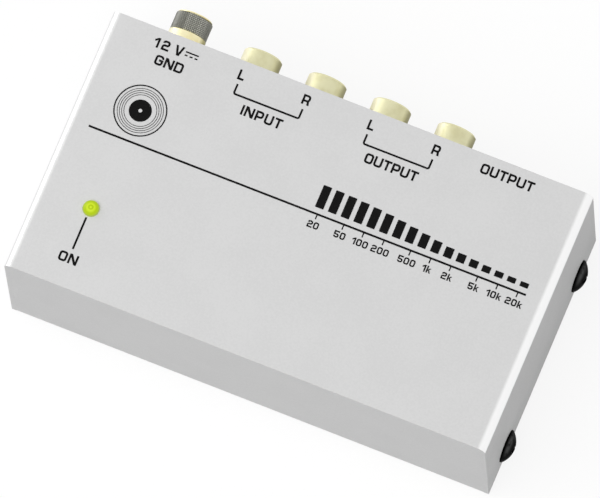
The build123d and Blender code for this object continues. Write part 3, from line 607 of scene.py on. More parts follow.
@dataclass(frozen=True)
class Laminate(Finish):
    """Glass laminate with straw-coloured edges, under a green mask that its tracks lift."""

    mask: str = "1C5A2E"
    track: str = "2F7A42"
    edge: str = "B6AA6E"
    pitch: float = 2.54

    def shade(self, add: Adder, place: Sockets) -> dict:
        """Make a green mask over a grid of tracks on the two faces, and straw colour on the edges.

        Args:
            add: Adds a node to the material.
            place: Its texture coordinates.

        Returns:
            Inputs of the shader.
        """
        here = place["Object"]
        grid = {"Vector": here, "Scale": 1.0, "Mortar Size": 0.35 * MM, "Mortar Smooth": 0.2}
        grid |= {"Brick Width": 4 * self.pitch * MM, "Row Height": self.pitch * MM}
        tracks = add("TexBrick", grid)["Fac"]
        face = add("Mix", {FACTOR: tracks, FIRST: self.mask, SECOND: self.track}, **COLOURS)[MIXED]
        up = add("SeparateXYZ", {0: place["Normal"]})["Z"]
        flat = add("Math", {0: up}, operation="ABSOLUTE")[0]
        weave = add("TexNoise", {"Vector": here, "Scale": per(0.5), "Detail": 2})[0]
        rough = {"Value": weave, "From Min": 0.3, "From Max": 0.7, "To Min": 0.28, "To Max": 0.42}
        return {
            "Base Color": change(add, flat, (0.4, 0.6), (self.edge, face))[0],
            "Roughness": add("MapRange", rough, **SOFT)[0],
            "Normal": add("Bump", {"Height": tracks, "Distance": 0.035 * MM, "Strength": 0.7})[0],
        }


@dataclass(frozen=True)
class ShrinkSleeve(Finish):
    """Glossy shrink sleeve on an aluminium can: dark film with a pale stripe down one side, bare top."""

    colour: str = "14182E"
    stripe: str = "C9CCD4"
    metal: str = "C4C5C6"
    dash: float = 2.4

    def shade(self, add: Adder, place: Sockets) -> dict:
        """Make a film on the sides with a dashed stripe that faces the front, and aluminium on top.

        Args:
            add: Adds a node to the material.
            place: Its texture coordinates.

        Returns:
            Inputs of the shader.
        """
        here = place["Object"]
        facing = add("SeparateXYZ", {0: place["Normal"]})
        rows = add("TexWave", {"Vector": here, "Scale": bands_per(self.dash)}, bands_direction="Z")["Fac"]
        middle = {"Value": facing["Y"], "From Min": -0.975, "From Max": -0.985}
        minus = overlap(add, middle, {"Value": rows, "From Min": 0.62, "From Max": 0.7})
        front = add("MapRange", {"Value": facing["Y"], "From Min": -0.9, "From Max": -0.93}, **SOFT)[0]
        stripe = add("Math", {0: front, 1: minus}, operation="SUBTRACT", use_clamp=True)[0]
        film = add("Mix", {FACTOR: stripe, FIRST: self.colour, SECOND: self.stripe}, **COLOURS)[MIXED]
        colour, top = change(add, facing["Z"], (0.85, 0.95), (film, self.metal))
        coat = skin(add, here, grain=1.2, gloss=(0.22, 0.34), relief=(0.02, 0.4))
        return coat | {"Base Color": colour, "Metallic": top}


@dataclass(frozen=True)
class BandedLacquer(Finish):
    """Lacquered film resistors: pale blue bodies with painted colour bands across them."""

    colour: str = "8FB9C9"
    spacing: float = 12.0
    row_start: float = 2.0
    column_start: float = 19.5
    row_edge: float = -18.5
    half_band: Point = (0.3, 0.24)  # where a band fades out and is full, from its middle
    bands: tuple[tuple[float, str], ...] = (
        (-2.1, "7A4A1E"),
        (-1.1, "1A1A1A"),
        (-0.2, "1A1A1A"),
        (0.7, "B3541C"),
        (2.1, "6B3A1A"),
    )

    def shade(self, add: Adder, place: Sockets) -> dict:
        """Make bands at fixed distances from each body's middle, under clear lacquer.

        Args:
            add: Adds a node to the material.
            place: Its texture coordinates.

        Returns:
            Inputs of the shader.
        """
        here = place["Object"]
        axes = add("SeparateXYZ", {0: here})
        behind = add("Math", {0: axes["Y"], 1: self.row_edge * MM}, operation="GREATER_THAN")[0]
        rows = {"Value": behind, "To Min": self.row_start * MM, "To Max": self.column_start * MM}
        start = add("MapRange", rows)[0]
        along = add("Math", {0: axes["X"], 1: start}, operation="SUBTRACT")[0]
        half = self.spacing * MM / 2
        local = add("Math", {0: along, 1: half, 2: -half}, operation="WRAP")[0]
        colour = self.colour
        edge, full_and_highlight = [reach * MM for reach in self.half_band]
        for middle, paint in self.bands:
            away = add("Math", {0: local, 1: middle * MM}, operation="SUBTRACT")[0]
            near = add("Math", {0: away}, operation="ABSOLUTE")[0]
            colour = change(add, near, (edge, full_and_highlight), (colour, paint))[0]
        coat = skin(add, here, grain=0.8, gloss=(0.25, 0.4), relief=(0.02, 0.4))
        return coat | {"Base Color": colour}


@dataclass(frozen=True)
class EarthInsulation(Finish):
    """Extruded insulation of an earth wire: green with a yellow line that runs along it."""

    colour: str = "2E7D32"
    line: str = "D9C832"

    def shade(self, add: Adder, place: Sockets) -> dict:
        """Make a green with a yellow line on the side that faces the right.

        Args:
            add: Adds a node to the material.
            place: Its texture coordinates.

        Returns:
            Inputs of the shader.
        """
        across = add("SeparateXYZ", {0: place["Normal"]})["X"]
        colour = change(add, across, (0.55, 0.65), (self.colour, self.line))[0]
        coat = skin(add, place["Object"], grain=0.7, gloss=(0.4, 0.55), relief=(0.01, 0.4))
        return coat | {"Base Color": colour}


CASE_PAINT = PowderCoat("silver_powder_coat")
BLACK_MOULDING = Moulding("black_moulded_nylon")
WHITE_MOULDING = Moulding("white_moulded_nylon", "DCDAD0", "E2E0D8", roughness=0.45)
RED_MOULDING = Moulding("red_moulded_nylon", "9E1512", "AC1F1A", roughness=0.45)
FILM_BOX = Moulding("red_flame_retardant_box", "8C1D17", "97271F", sand=0.9, roughness=0.3)
# Both golds carry a painted highlight on their left sides and painted shade on their right sides.
PALE_GOLD = PaintedLightPlate("pale_gold_flash_on_turned_brass", "E5E2BD", "DFDBB4", roughness=0.54, marks=0.18)
BRIGHT_GOLD = PaintedLightPlate("bright_gold_flash_on_turned_brass", "F6EEC4", "F0E2AA", roughness=0.42, marks=0.18)
NICKEL_PLATE = Plate("satin_nickel_on_brass", "A9A8A2", "93928C", 0.34, marks=0.2, axis=Turned.X)
ZINC_STEEL = Plate("bright_zinc_on_steel", "C6C7C6", "AFB0AF", 0.32, marks=0.3, axis=Turned.Z)
TINNED_METAL = Plate("tin_dipped_copper", "CFCFCE", "B9B9B8", 0.3, marks=0.5, axis=Turned.X, depth=0.006)
KNURL = KnurledNickel("knurled_nickel_on_brass")
BLACK_SCREW = BlackZinc("black_passivated_zinc")
PANEL_SCREW = BlackZinc("black_oxide_on_steel", "0C0C0C", "1E1E1E", shine=0.3)
FOOT_RUBBER = FootRubber("moulded_foot_rubber")
LENS = LitEpoxy("lit_green_epoxy")
INK = ScreenInk("black_screen_ink")
BOARD = Laminate("green_masked_glass_laminate")
SLEEVE = ShrinkSleeve("dark_shrink_sleeve")
RESISTOR_COAT = BandedLacquer("banded_resistor_lacquer")
EARTH_WIRE = EarthInsulation("earth_wire_insulation")


# ---- Making pieces ----


def placed(name: str, data: bpy.types.ID) -> bpy.types.Object:
    """Put a mesh, a camera or a lamp into the scene.

    Args:
        name: Name of its object.
        data: What it is.

    Returns:
        The new object.
    """
    obj = bpy.data.objects.new(name, data)
    bpy.context.scene.collection.objects.link(obj)
    return obj


@dataclass
class Frame:
    """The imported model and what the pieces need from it."""

    nodes: dict[str, bpy.types.Object]

    def dress(self, finish: Finish, *names: str) -> None:
        """Give CAD nodes a finish.

        Args:
            finish: The finish.
            *names: Names of the nodes.
        """
        for name in names:
            for slot in self.nodes[name].material_slots:
                slot.material = finish.material()
            log.info("%s: %s", name, finish.name)

    def piece(
        self, name: str, bm: Mesh, finish: Finish, body: Body, slot: str = "", crease: float = 0.0
    ) -> bpy.types.Object:
        """Make an object of a finished bmesh, with its place in its mesh.

        Args:
            name: Name of the piece.
            bm: Its shape in millimetres. It is freed.
            finish: Its finish.
            body: The body that it rides on.
            slot: The record's material slot, if there is one. It is not used.
            crease: Angle in degrees from which edges stay sharp. At 0 the faces stay flat.

        Returns:
            The new object.
        """
        bmesh.ops.scale(bm, vec=(MM, MM, MM), verts=bm.verts)
        mesh = bpy.data.meshes.new(name)
        bm.to_mesh(mesh)
        bm.free()
        mesh.materials.append(finish.material())
        if crease:
            mesh.shade_smooth()
            mesh.set_sharp_from_angle(angle=math.radians(crease))
        obj = placed(name, mesh)
        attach(obj, body.value)
        log.info("%s: %d faces, %s", name, len(mesh.polygons), finish.name)
        return obj

    def merged(self, name: str) -> Mesh:
        """Copy a CAD node's loose triangles into one clean shell, in millimetres.

        Args:
            name: Name of the node.

        Returns:
            The merged copy, flat faces in one piece each.
        """
        bm = bmesh.new()
        bm.from_mesh(self.nodes[name].data)
        bmesh.ops.scale(bm, vec=(1 / MM, 1 / MM, 1 / MM), verts=bm.verts)
        bmesh.ops.remove_doubles(bm, verts=bm.verts, dist=WELD)
        bmesh.ops.dissolve_limit(bm, angle_limit=math.radians(1), verts=bm.verts, edges=bm.edges)
        return bm


# ---- Sub-assemblies ----


@dataclass
class SteelCase:
    """Folded cover and tray with their screws, feet and fixings."""

    frame: Frame
    edge: float = 0.1  # the coat rounds a cut edge by this much
    sharp: float = 35.0
    ends: Point = (-32.5, 25.2)
    seam_x: float = 51.47
    seam_z: float = 33.77
    reach: float = 0.1
    inside_x: float = 51.5
    inside_z: float = 33.8
    coat: float = 0.05
    bottom: float = 1.6
    tray_bend: float = 1.2
    pressed_bend: float = 0.3

    def build(self) -> None:
        """Round the sheet's cut edges and dress the fixings."""
        for node in ("top_cover", "chassis_tray"):
            self.painted_sheet(node)
        self.frame.dress(BLACK_SCREW, "side_screws")
        self.frame.dress(FOOT_RUBBER, "rubber_feet")
        self.frame.dress(ZINC_STEEL, "clinch_nuts", "board_standoffs", "board_screws")

    def in_seam(self, edge: bmesh.types.BMEdge) -> bool:
        """Tell whether an edge lies along the tight seam between cover and tray.

        Args:
            edge: A cut edge.

        Returns:
            True for an edge that touches the other sheet and stays crisp.
        """
        at_end = all(min(abs(v.co.y - y) for y in self.ends) < self.reach for v in edge.verts)
        beside = all(abs(abs(v.co.x) - self.seam_x) < self.reach for v in edge.verts)
        below = all(abs(v.co.z - self.seam_z) < self.reach for v in edge.verts)
        return at_end and (beside or below)

    def thicken(self, bm: Mesh) -> None:
        """Add the coat to the cover's inner faces, which closes the seam to a hairline.

        Args:
            bm: The cover.
        """
        for v in bm.verts:
            if abs(abs(v.co.x) - self.inside_x) < NEAR:
                v.co.x -= math.copysign(self.coat, v.co.x)
            if abs(v.co.z - self.inside_z) < NEAR:
                v.co.z -= self.coat

    def press_bends(self, bm: Mesh) -> None:
        """Tighten the outside of the tray's front and rear bends, which are pressed almost square.

        Args:
            bm: The tray.
        """
        for end in self.ends:
            inward = -math.copysign(1, end)
            centre = Vector((end + inward * self.tray_bend, self.bottom + self.tray_bend))
            tight = Vector((end + inward * self.pressed_bend, self.bottom + self.pressed_bend))
            for v in bm.verts:
                arm = v.co.yz - centre
                outside = max(arm.x * inward, arm.y) < NEAR
                if outside and abs(arm.length - self.tray_bend) < NEAR:
                    v.co.yz = tight + arm * self.pressed_bend / self.tray_bend

    def painted_sheet(self, node: str) -> None:
        """Replace a folded sheet by one with rounded cut edges.

        Args:
            node: Name of the CAD node.
        """
        bm = self.frame.merged(node)
        if node == "top_cover":
            self.thicken(bm)
        else:
            self.press_bends(bm)
        limit = math.radians(self.sharp)
        cut = [e for e in bm.edges if len(e.link_faces) == 2 and e.calc_face_angle(0.0) > limit]
        edges = [e for e in cut if not self.in_seam(e)]
        rounding = {"affect": "EDGES", "offset": self.edge, "segments": 2, "clamp_overlap": True}
        bmesh.ops.bevel(bm, geom=edges, **rounding, **BEVEL)
        obj = self.frame.piece(f"{node}_painted", bm, CASE_PAINT, Body.CASE, "case_paint", crease=40)
        normals = obj.modifiers.new("even_faces", "WEIGHTED_NORMAL")
        normals.keep_sharp = True
        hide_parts(node)


@dataclass
class SignalLamp:
    """Lit lamp in the top, on its spacer."""

    frame: Frame
    bottom: float = 30.5
    flange: float = 1.0
    flange_radius: float = 2.0
    shoulder: float = 34.85
    top: float = 35.9

    def build(self) -> None:
        """Model the lens and dress the spacer and the leads."""
        self.lens()
        self.frame.dress(BLACK_MOULDING, "lamp_spacer")
        self.frame.dress(TINNED_METAL, "lamp_leads")

    def lens(self) -> None:
        """Cut a ball in half for the dome, flatten it and draw its rim down to the flange."""
        bm = bmesh.new()
        bmesh.ops.create_uvsphere(bm, u_segments=48, v_segments=24, radius=1.0)
        half = {"plane_co": (0, 0, 0), "plane_no": (0, 0, 1), "clear_inner": True, "dist": 1e-5}
        bmesh.ops.bisect_plane(bm, geom=bm.verts[:] + bm.edges[:] + bm.faces[:], **half)
        dome = (LAMP_RADIUS, LAMP_RADIUS, self.top - self.shoulder)
        bmesh.ops.scale(bm, vec=dome, verts=bm.verts)
        bmesh.ops.translate(bm, vec=(0, 0, self.shoulder), verts=bm.verts)
        rim = [e for e in bm.edges if e.is_boundary]
        step = self.bottom + self.flange
        wide = self.flange_radius
        for radius, height in ((LAMP_RADIUS, step), (wide, step), (wide, self.bottom)):
            grown = bmesh.ops.extrude_edge_only(bm, edges=rim)["geom"]
            rim = [e for e in grown if isinstance(e, bmesh.types.BMEdge) and e.is_boundary]
            ring = {v for e in rim for v in e.verts}
            for v in ring:
                v.co.xy = v.co.xy.normalized() * radius
                v.co.z = height
        bmesh.ops.contextual_create(bm, geom=rim)
        bmesh.ops.translate(bm, vec=(*LAMP_AXIS, 0), verts=bm.verts)
        bmesh.ops.recalc_face_normals(bm, faces=bm.faces)
        lens = self.frame.piece("domed_lens", bm, LENS, Body.CASE, "green_lens", crease=50)
        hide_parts("lamp_lens")


@dataclass
class GroundTerminal:
    """Brass post behind the case, with a washer and a knurled thumb nut.

    The grip runs from near to far. Its knurl has rows along the axis and points around it.
    """

    frame: Frame
    near: float = 28.2
    far: float = 32.2
    bore: float = 2.9
    crest: float = 3.99
    lead_in: float = 0.2
    around: int = 92
    rows: int = 12

    def build(self) -> None:
        """Model the knurled grip and dress the rest."""
        self.knurled_grip()
        self.frame.dress(BRIGHT_GOLD, "ground_post", "ground_washer", "ground_nut_core")
        self.frame.dress(ZINC_STEEL, "ground_hex_nut", "ground_lock_washer")
        self.frame.dress(TINNED_METAL, "ground_tag")
        self.frame.dress(EARTH_WIRE, "ground_wire")

    def knurled_grip(self) -> None:
        """Spin the grip's section, then raise every second point to a crest for a diamond knurl."""
        bm = bmesh.new()
        first, last = self.near + self.lead_in, self.far - self.lead_in
        pitch = (last - first) / self.rows
        end = NUT_VALLEY - self.lead_in
        grip = [(NUT_VALLEY, first + pitch * row) for row in range(self.rows + 1)]
        ends = [(self.bore, self.far), (self.bore, self.near), (end, self.near)]
        section = [*ends, *grip, (end, self.far)]
        across, up = NUT_AXIS
        points = [bm.verts.new((across + r, y, up)) for r, y in section]
        edges = [bm.edges.new((a, b)) for a, b in zip(points, points[1:] + points[:1])]
        centre = (across, 0, up)
        turn = {"cent": centre, "axis": (0, 1, 0), "angle": 2 * math.pi, "steps": self.around}
        bmesh.ops.spin(bm, geom=points + edges, use_merge=True, use_duplicate=False, **turn)
        bmesh.ops.remove_doubles(bm, verts=bm.verts, dist=WELD)
        valleys = []
        for v in bm.verts:
            x, z = v.co.x - across, v.co.z - up
            if abs(math.hypot(x, z) - NUT_VALLEY) > NEAR:
                continue
            column = round(math.atan2(z, x) * self.around / (2 * math.pi))
            row = round((v.co.y - first) / pitch)
            if (column + row) % 2:
                valleys.append(v)
            else:
                v.co.x = across + x * self.crest / NUT_VALLEY
                v.co.z = up + z * self.crest / NUT_VALLEY
        bmesh.ops.connect_verts(bm, verts=valleys)
        bmesh.ops.recalc_face_normals(bm, faces=bm.faces)
        grip = self.frame.piece("knurled_grip", bm, KNURL, Body.NUT, "nickel_plate")
        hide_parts("ground_nut_grip")


@dataclass
class PhonoJacks:
    """Two twin blocks of phono sockets with plated shells."""

    frame: Frame
    sides: tuple[str, ...] = ("left", "right")
    blocks: tuple[str, ...] = ("input", "output")

    def build(self) -> None:
        """Dress shells, insulators, contacts, housings and panel screws."""
        for block in self.blocks:
            self.frame.dress(BLACK_MOULDING, f"rca_housing_{block}")
            for side in self.sides:
                place = f"{block}_{side}"
                self.frame.dress(PALE_GOLD, f"rca_shell_{place}", f"rca_contact_{place}")
                insulator = WHITE_MOULDING if side == "left" else RED_MOULDING
                self.frame.dress(insulator, f"rca_insulator_{place}")
        self.frame.dress(PANEL_SCREW, "rca_panel_screws")


@dataclass
class PanelSockets:
    """Stereo jack and low-voltage inlet."""

    frame: Frame

    def build(self) -> None:
        """Dress the bodies and their contacts."""
        self.frame.dress(BLACK_MOULDING, "stereo_jack_body", "power_inlet_body")
        springs = [f"stereo_{part}_contact" for part in ("tip", "ring", "sleeve")]
        self.frame.dress(NICKEL_PLATE, *springs, "power_inlet_pin", "power_inlet_contact")


@dataclass
class Circuit:
    """Board with its parts, inside the case."""

    frame: Frame

    def build(self) -> None:
        """Dress the board, the bodies and their leads."""
        self.frame.dress(BOARD, "main_board")
        self.frame.dress(BLACK_MOULDING, "op_amps", "polarity_diode", "voltage_regulator")
        self.frame.dress(SLEEVE, "filter_capacitors", "signal_capacitors")
        self.frame.dress(FILM_BOX, "film_capacitors")
        self.frame.dress(RESISTOR_COAT, "resistors")
        leads = ("filter_capacitor", "signal_capacitor", "film_capacitor", "resistor", "polarity_diode")
        self.frame.dress(TINNED_METAL, *[f"{part}_leads" for part in leads])
        self.frame.dress(TINNED_METAL, "op_amp_legs", "regulator_legs", "regulator_heat_tab")


# Widths of the signs in cap heights.
WIDTHS = {"O": 0.82, "U": 0.82, "G": 0.82, "I": 0.205, "L": 0.63, "T": 0.76, "V": 0.88, "N": 0.9}
WIDTHS |= {"D": 0.85, "P": 0.79, "R": 0.77, "1": 0.54, "2": 0.74, "0": 0.74, "5": 0.74, "k": 0.66}


@dataclass(frozen=True)
class Alphabet:
    """A plain squarish alphabet of even strokes, in units of its cap height."""

    stroke: float = 0.205
    bend: float = 0.27
    inner_bend: float = 0.095
    bowl: float = 0.29
    gap: float = 0.14

    def letter(self, sign: str) -> tuple[Loop, ...]:
        """Return a sign's outlines: the outer one and the hole's, if it has a hole.

        Args:
            sign: One of the signs that have a width.

        Returns:
            Closed loops of corners.
        """
        # Across: the stroke, the right side, the inner side of the right stroke, and the middle.
        s, w = self.stroke, WIDTHS[sign]
        e, c = w - s, w / 2
        # Up: below the top stroke, below and above the middle one, and below a bowl.
        n, m = 1 - s, 0.5 - s / 2
        k, b = m + s, self.bowl
        # Radii of the outer and inner bends.
        r, q = self.bend, self.inner_bend
        bowl = ((s, b + s), (e, b + s, q), (e, n, q), (s, n))
        leg = ((e - 0.06, b), (e, 0), (w + 0.02, 0), (w - 0.07, 0.4, 0.04), (w, 0.52, 0.08))
        outer: dict[str, Loop] = {
            "O": ((0, 0, r), (w, 0, r), (w, 1, r), (0, 1, r)),
            "I": ((0, 0), (s, 0), (s, 1), (0, 1)),
            "L": ((0, 0), (w, 0), (w, s), (s, s), (s, 1), (0, 1)),
            "T": ((c - s / 2, 0), (c + s / 2, 0), (c + s / 2, n), (w, n))
            + ((w, 1), (0, 1), (0, n), (c - s / 2, n)),
            "N": ((0, 0), (s, 0), (s, 0.66), (e - 0.05, 0), (w, 0))
            + ((w, 1), (e, 1), (e, 0.34), (s + 0.05, 1), (0, 1)),
            "V": ((c - 0.13, 0), (c + 0.13, 0), (w, 1), (w - 0.22, 1), (c, 0.28), (0.22, 1), (0, 1)),
            "U": ((0, 0, r), (w, 0, r), (w, 1), (e, 1), (e, s, q), (s, s, q), (s, 1), (0, 1)),
            "D": ((0, 0), (w, 0, r), (w, 1, r), (0, 1)),
            "P": ((0, 0), (s, 0), (s, b), (w, b, r), (w, 1, r), (0, 1)),
            "R": ((0, 0), (s, 0), (s, b), *leg, (w, 1, r), (0, 1)),
            "G": ((w, 0.68), (w, 1, r), (0, 1, r), (0, 0, r), (w, 0, r), (w, k), (0.48 * w, k))
            + ((0.48 * w, m), (e, m), (e, s, q), (s, s, q), (s, n, q), (e, n, q), (e, 0.68)),
            "1": ((e, 0), (w, 0), (w, 1), (e + 0.02, 1), (0, 0.75), (0.08, 0.58), (e, 0.76)),
            "2": ((0, 0.7), (0, 1, r), (w, 1, r), (w, m, r), (s, m, 0.05), (s, s), (w, s), (w, 0))
            + ((0, 0), (0, k, r), (e, k, q), (e, n, q), (s, n, q), (s, 0.7)),
            "5": ((w, 1), (0, 1), (0, m), (e, m, q), (e, s, q), (s, s, q), (s, 0.28), (0, 0.28))
            + ((0, 0, r), (w, 0, r), (w, k, r), (s, k), (s, n), (w, n)),
            "k": ((0, 0), (s, 0), (s, 0.26), (0.26, 0.36), (w - 0.2, 0), (w, 0))
            + ((0.39, 0.46), (w - 0.03, 0.72), (w - 0.25, 0.72), (s, 0.46), (s, 1), (0, 1)),
        }
        hole = {"O": ((s, s, q), (e, s, q), (e, n, q), (s, n, q)), "P": bowl, "R": bowl}
        hole |= {"D": ((s, s), (e, s, q), (e, n, q), (s, n))}
        shape = sign.replace("0", "O")
        return tuple(loops[shape] for loops in (outer, hole) if shape in loops)

    def spread(self, text: str) -> float:
        """Return the width of a text at cap height 1 without its gaps."""
        return sum(WIDTHS[sign] for sign in text)


@dataclass(frozen=True)
class Word:
    """A word on the cover: where it starts and ends, and the middle of its capitals."""

    text: str
    left: float
    right: float
    middle: float


@dataclass
class Print:
    """One printed piece: thin ink on the top, drawn mark by mark. A box is left, front, right, rear."""

    alphabet: Alphabet = Alphabet()
    rounding: int = 4
    sides: int = 64
    bm: Mesh = field(default_factory=bmesh.new)

    def outline(self, *loops: Loop, at: Point = (0, 0), scale: float = 1.0) -> None:
        """Draw a filled mark from its closed outlines, holes among them.

        Args:
            *loops: The outlines. A corner's third number, if any, is its radius.
            at: Where the outlines' origin goes.
            scale: Size of one unit in millimetres.
        """
        mark = bmesh.new()
        for loop in loops:
            points = [mark.verts.new((x, y, 0)) for x, y, *_ in loop]
            for a, b in zip(points, points[1:] + points[:1]):
                mark.edges.new((a, b))
            for point, (_, _, *radius) in zip(points, loop):
                if any(radius):
                    bend = {"affect": "VERTICES", "offset": radius[0], "segments": self.rounding}
                    bmesh.ops.bevel(mark, geom=[point], **bend, **BEVEL)
        bmesh.ops.triangle_fill(mark, edges=mark.edges, use_beauty=True, use_dissolve=True)
        bmesh.ops.scale(mark, vec=(scale, scale, 1), verts=mark.verts)
        bmesh.ops.translate(mark, vec=(*at, 0), verts=mark.verts)
        self.join(mark)

    def ring(self, centre: Point, outer: float, inner: float) -> None:
        """Draw a ring.

        Args:
            centre: Its centre.
            outer: Its outer radius.
            inner: Its inner radius.
        """
        mark = bmesh.new()
        for radius in (outer, inner):
            bmesh.ops.create_circle(mark, radius=radius, segments=self.sides)
        bmesh.ops.bridge_loops(mark, edges=mark.edges)
        bmesh.ops.translate(mark, vec=(*centre, 0), verts=mark.verts)
        self.join(mark)

    def bar(self, box: Box, radius: float = 0.0) -> None:
        """Draw a rectangle.

        Args:
            box: Its four sides.
            radius: Radius of its corners.
        """
        left, front, right, rear = box
        corners = ((left, front), (right, front), (right, rear), (left, rear))
        self.outline(tuple((*corner, radius) for corner in corners))

    def bracket(self, box: Box, line: float, bend: float) -> None:
        """Draw a bracket that opens to the rear, with rounded corners.

        Args:
            box: Its four sides.
            line: Width of its line.
            bend: Outer radius of its corners.
        """
        left, front, right, rear = box
        outside = ((left, rear), (left, front, bend), (right, front, bend), (right, rear))
        left, front, right, bend = left + line, front + line, right - line, bend - line
        inside = ((right, rear), (right, front, bend), (left, front, bend), (left, rear))
        self.outline(outside + inside)

    def write(self, word: Word, height: float) -> None:
        """Write a word so that it fills its width.

        Args:
            word: The word.
            height: Cap height.
        """
        spare = word.right - word.left - self.alphabet.spread(word.text) * height
        gap = spare / max(len(word.text) - 1, 1)
        x = word.left
        for sign in word.text:
            self.outline(*self.alphabet.letter(sign), at=(x, word.middle - height / 2), scale=height)
            x += WIDTHS[sign] * height + gap

    def centred(self, text: str, centre: float, middle: float, height: float) -> None:
        """Write a text at its natural width about a centre.

        Args:
            text: The text.
            centre: X of its middle.
            middle: Y of the capitals' middle.
            height: Cap height.
        """
        half = (self.alphabet.spread(text) + self.alphabet.gap * (len(text) - 1)) * height / 2
        self.write(Word(text, centre - half, centre + half, middle), height)

    def join(self, mark: Mesh) -> None:
        """Move a flat mark's faces into the print.

        Args:
            mark: The mark. It is freed.
        """
        mesh = bpy.data.meshes.new("mark")
        mark.to_mesh(mesh)
        mark.free()
        self.bm.from_mesh(mesh)
        bpy.data.meshes.remove(mesh)

    def raise_ink(self, base: float, top: float) -> Mesh:
        """Give the flat marks the ink's thickness.

        Args:
            base: Height of the ink's underside.
            top: Height of its upper face.

        Returns:
            The closed print.
        """
        bmesh.ops.translate(self.bm, vec=(0, 0, base), verts=self.bm.verts)
        grown = bmesh.ops.extrude_face_region(self.bm, geom=self.bm.faces[:])["geom"]
        raised = [v for v in grown if isinstance(v, bmesh.types.BMVert)]
        bmesh.ops.translate(self.bm, vec=(0, 0, top - base), verts=raised)
        bmesh.ops.recalc_face_normals(self.bm, faces=self.bm.faces)
        return self.bm


@dataclass
class TopPrint:
    """Screen print on the cover: names of the sockets, the lamp's mark, a rule and plain ornaments."""

    frame: Frame
    ink: float = 0.03
    sunk: float = 0.02
    capital: float = 2.16
    line: float = 0.41
    lamp_line: Box = (-41.01, -24.37, -40.59, -17.2)
    lamp_word: Word = Word("ON", -42.94, -38.9, -26.42)
    power_words: tuple[Word, ...] = (
        Word("12", -42.32, -38.92, 22.18),
        Word("V", -37.78, -35.88, 22.18),
        Word("GND", -40.7, -34.6, 18.83),
    )
    current_line: Box = (-35.46, 22.39, -32.68, 22.7)
    current_dash: Box = (-35.46, 21.66, -34.84, 21.96)
    input_arms: Point = (-23.13, -8.92)
    input_word: Word = Word("INPUT", -20.37, -11.52, 15.48)
    output_arms: Point = (5.25, 19.5)
    output_word: Word = Word("OUTPUT", 6.67, 18.13, 15.48)
    left_shift: float = 0.05
    left_middle: float = 22.17
    right_shift: float = -0.02
    right_middle: float = 22.21
    bracket_ends: Point = (17.77, 20.12)
    bracket_bend: float = 0.55
    stereo_word: Word = Word("OUTPUT", 29.28, 40.8, 22.19)
    rule_line: Box = (-47.79, 0.57, 47.8, 1.0)
    record_centre: Point = (-39.3, 7.6)
    record_rim: Point = (5.5, 5.22)
    record_grooves: tuple[float, ...] = (4.75, 4.3, 3.85, 3.4)
    record_groove: float = 0.12
    record_label: Point = (2.35, 0.4)
    bars: int = 17
    bar_ends: Point = (1.2, 47.6)
    bar_share: float = 0.65
    bar_front: float = 2.1
    bar_radius: float = 0.12
    bar_low: float = 0.9
    bar_drop: float = 4.2
    bar_knee: float = 8.0
    bar_slope: float = 2.6
    scale_start: float = 2.3
    scale_from: float = 20.0  # in hertz
    scale_decade: float = 14.6
    tick: Box = (-0.13, -0.35, 0.13, 0.6)
    figures_middle: float = -1.6
    figures_height: float = 1.5

    def build(self) -> None:
        """Print every mark as a piece of its own."""
        marks: dict[str, Callable[[Print], None]] = {
            "lamp": self.lamp_mark,
            "power": self.power_mark,
            "input": partial(self.pair_mark, arms=self.input_arms, word=self.input_word),
            "output": partial(self.pair_mark, arms=self.output_arms, word=self.output_word),
            "stereo": partial(Print.write, word=self.stereo_word, height=self.capital),
            "rule": partial(Print.bar, box=self.rule_line),
            "record": self.record_ornament,
            "response": self.response_ornament,
        }
        for name, draw in marks.items():
            sheet = Print()
            draw(sheet)
            bm = sheet.raise_ink(TOP - self.sunk, TOP + self.ink)
            self.frame.piece(f"{name}_print", bm, INK, Body.CASE)

    def lamp_mark(self, sheet: Print) -> None:
        """Draw a line from the lamp to its ON."""
        sheet.bar(self.lamp_line)
        sheet.write(self.lamp_word, self.capital)

    def power_mark(self, sheet: Print) -> None:
        """Draw the voltage with the direct-current sign, and the ground terminal's name.

        Args:
            sheet: The print.
        """
        for word in self.power_words:
            sheet.write(word, self.capital)
        sheet.bar(self.current_line)
        left, front, right, rear = self.current_dash
        step = (self.current_line[2] - right) / 2
        for shift in (0, step, 2 * step):
            sheet.bar((left + shift, front, right + shift, rear))

    def pair_mark(self, sheet: Print, arms: Point, word: Word) -> None:
        """Draw the channel letters of a pair of sockets, the bracket that joins them and their word.

        Args:
            sheet: The print.
            arms: X of the bracket's two arms.
            word: The pair's word.
        """
        left, right = arms
        sheet.centred("L", left + self.left_shift, self.left_middle, self.capital)
        sheet.centred("R", right + self.right_shift, self.right_middle, self.capital)
        front, rear = self.bracket_ends
        box = (left - self.line / 2, front, right + self.line / 2, rear)
        sheet.bracket(box, self.line, self.bracket_bend)
        sheet.write(word, self.capital)

    def record_ornament(self, sheet: Print) -> None:
        """Draw a record with its rim, grooves and label.

        Args:
            sheet: The print.
        """
        grooves = [(radius, radius - self.record_groove) for radius in self.record_grooves]
        for outer, inner in (self.record_rim, *grooves, self.record_label):
            sheet.ring(self.record_centre, outer, inner)

    def response_ornament(self, sheet: Print) -> None:
        """Draw falling bars above the rule, and a frequency scale below it.

        Args:
            sheet: The print.
        """
        left, right = self.bar_ends
        pitch = (right - left) / (self.bars - 1 + self.bar_share)
        for i in range(self.bars):
            height = self.bar_low + self.bar_drop / (1 + math.exp((i - self.bar_knee) / self.bar_slope))
            start = left + i * pitch
            box = (start, self.bar_front, start + self.bar_share * pitch, self.bar_front + height)
            sheet.bar(box, self.bar_radius)
        left, front, right, rear = self.tick
        for figure in ("20", "50", "100", "200", "500", "1k", "2k", "5k", "10k", "20k"):
            decades = round(math.log10(float(figure.replace("k", "e3")) / self.scale_from), 3)
            x = self.scale_start + decades * self.scale_decade
            sheet.bar((x + left, front, x + right, rear))
            sheet.centred(figure, x, self.figures_middle, self.figures_height)


# ---- Studio ----


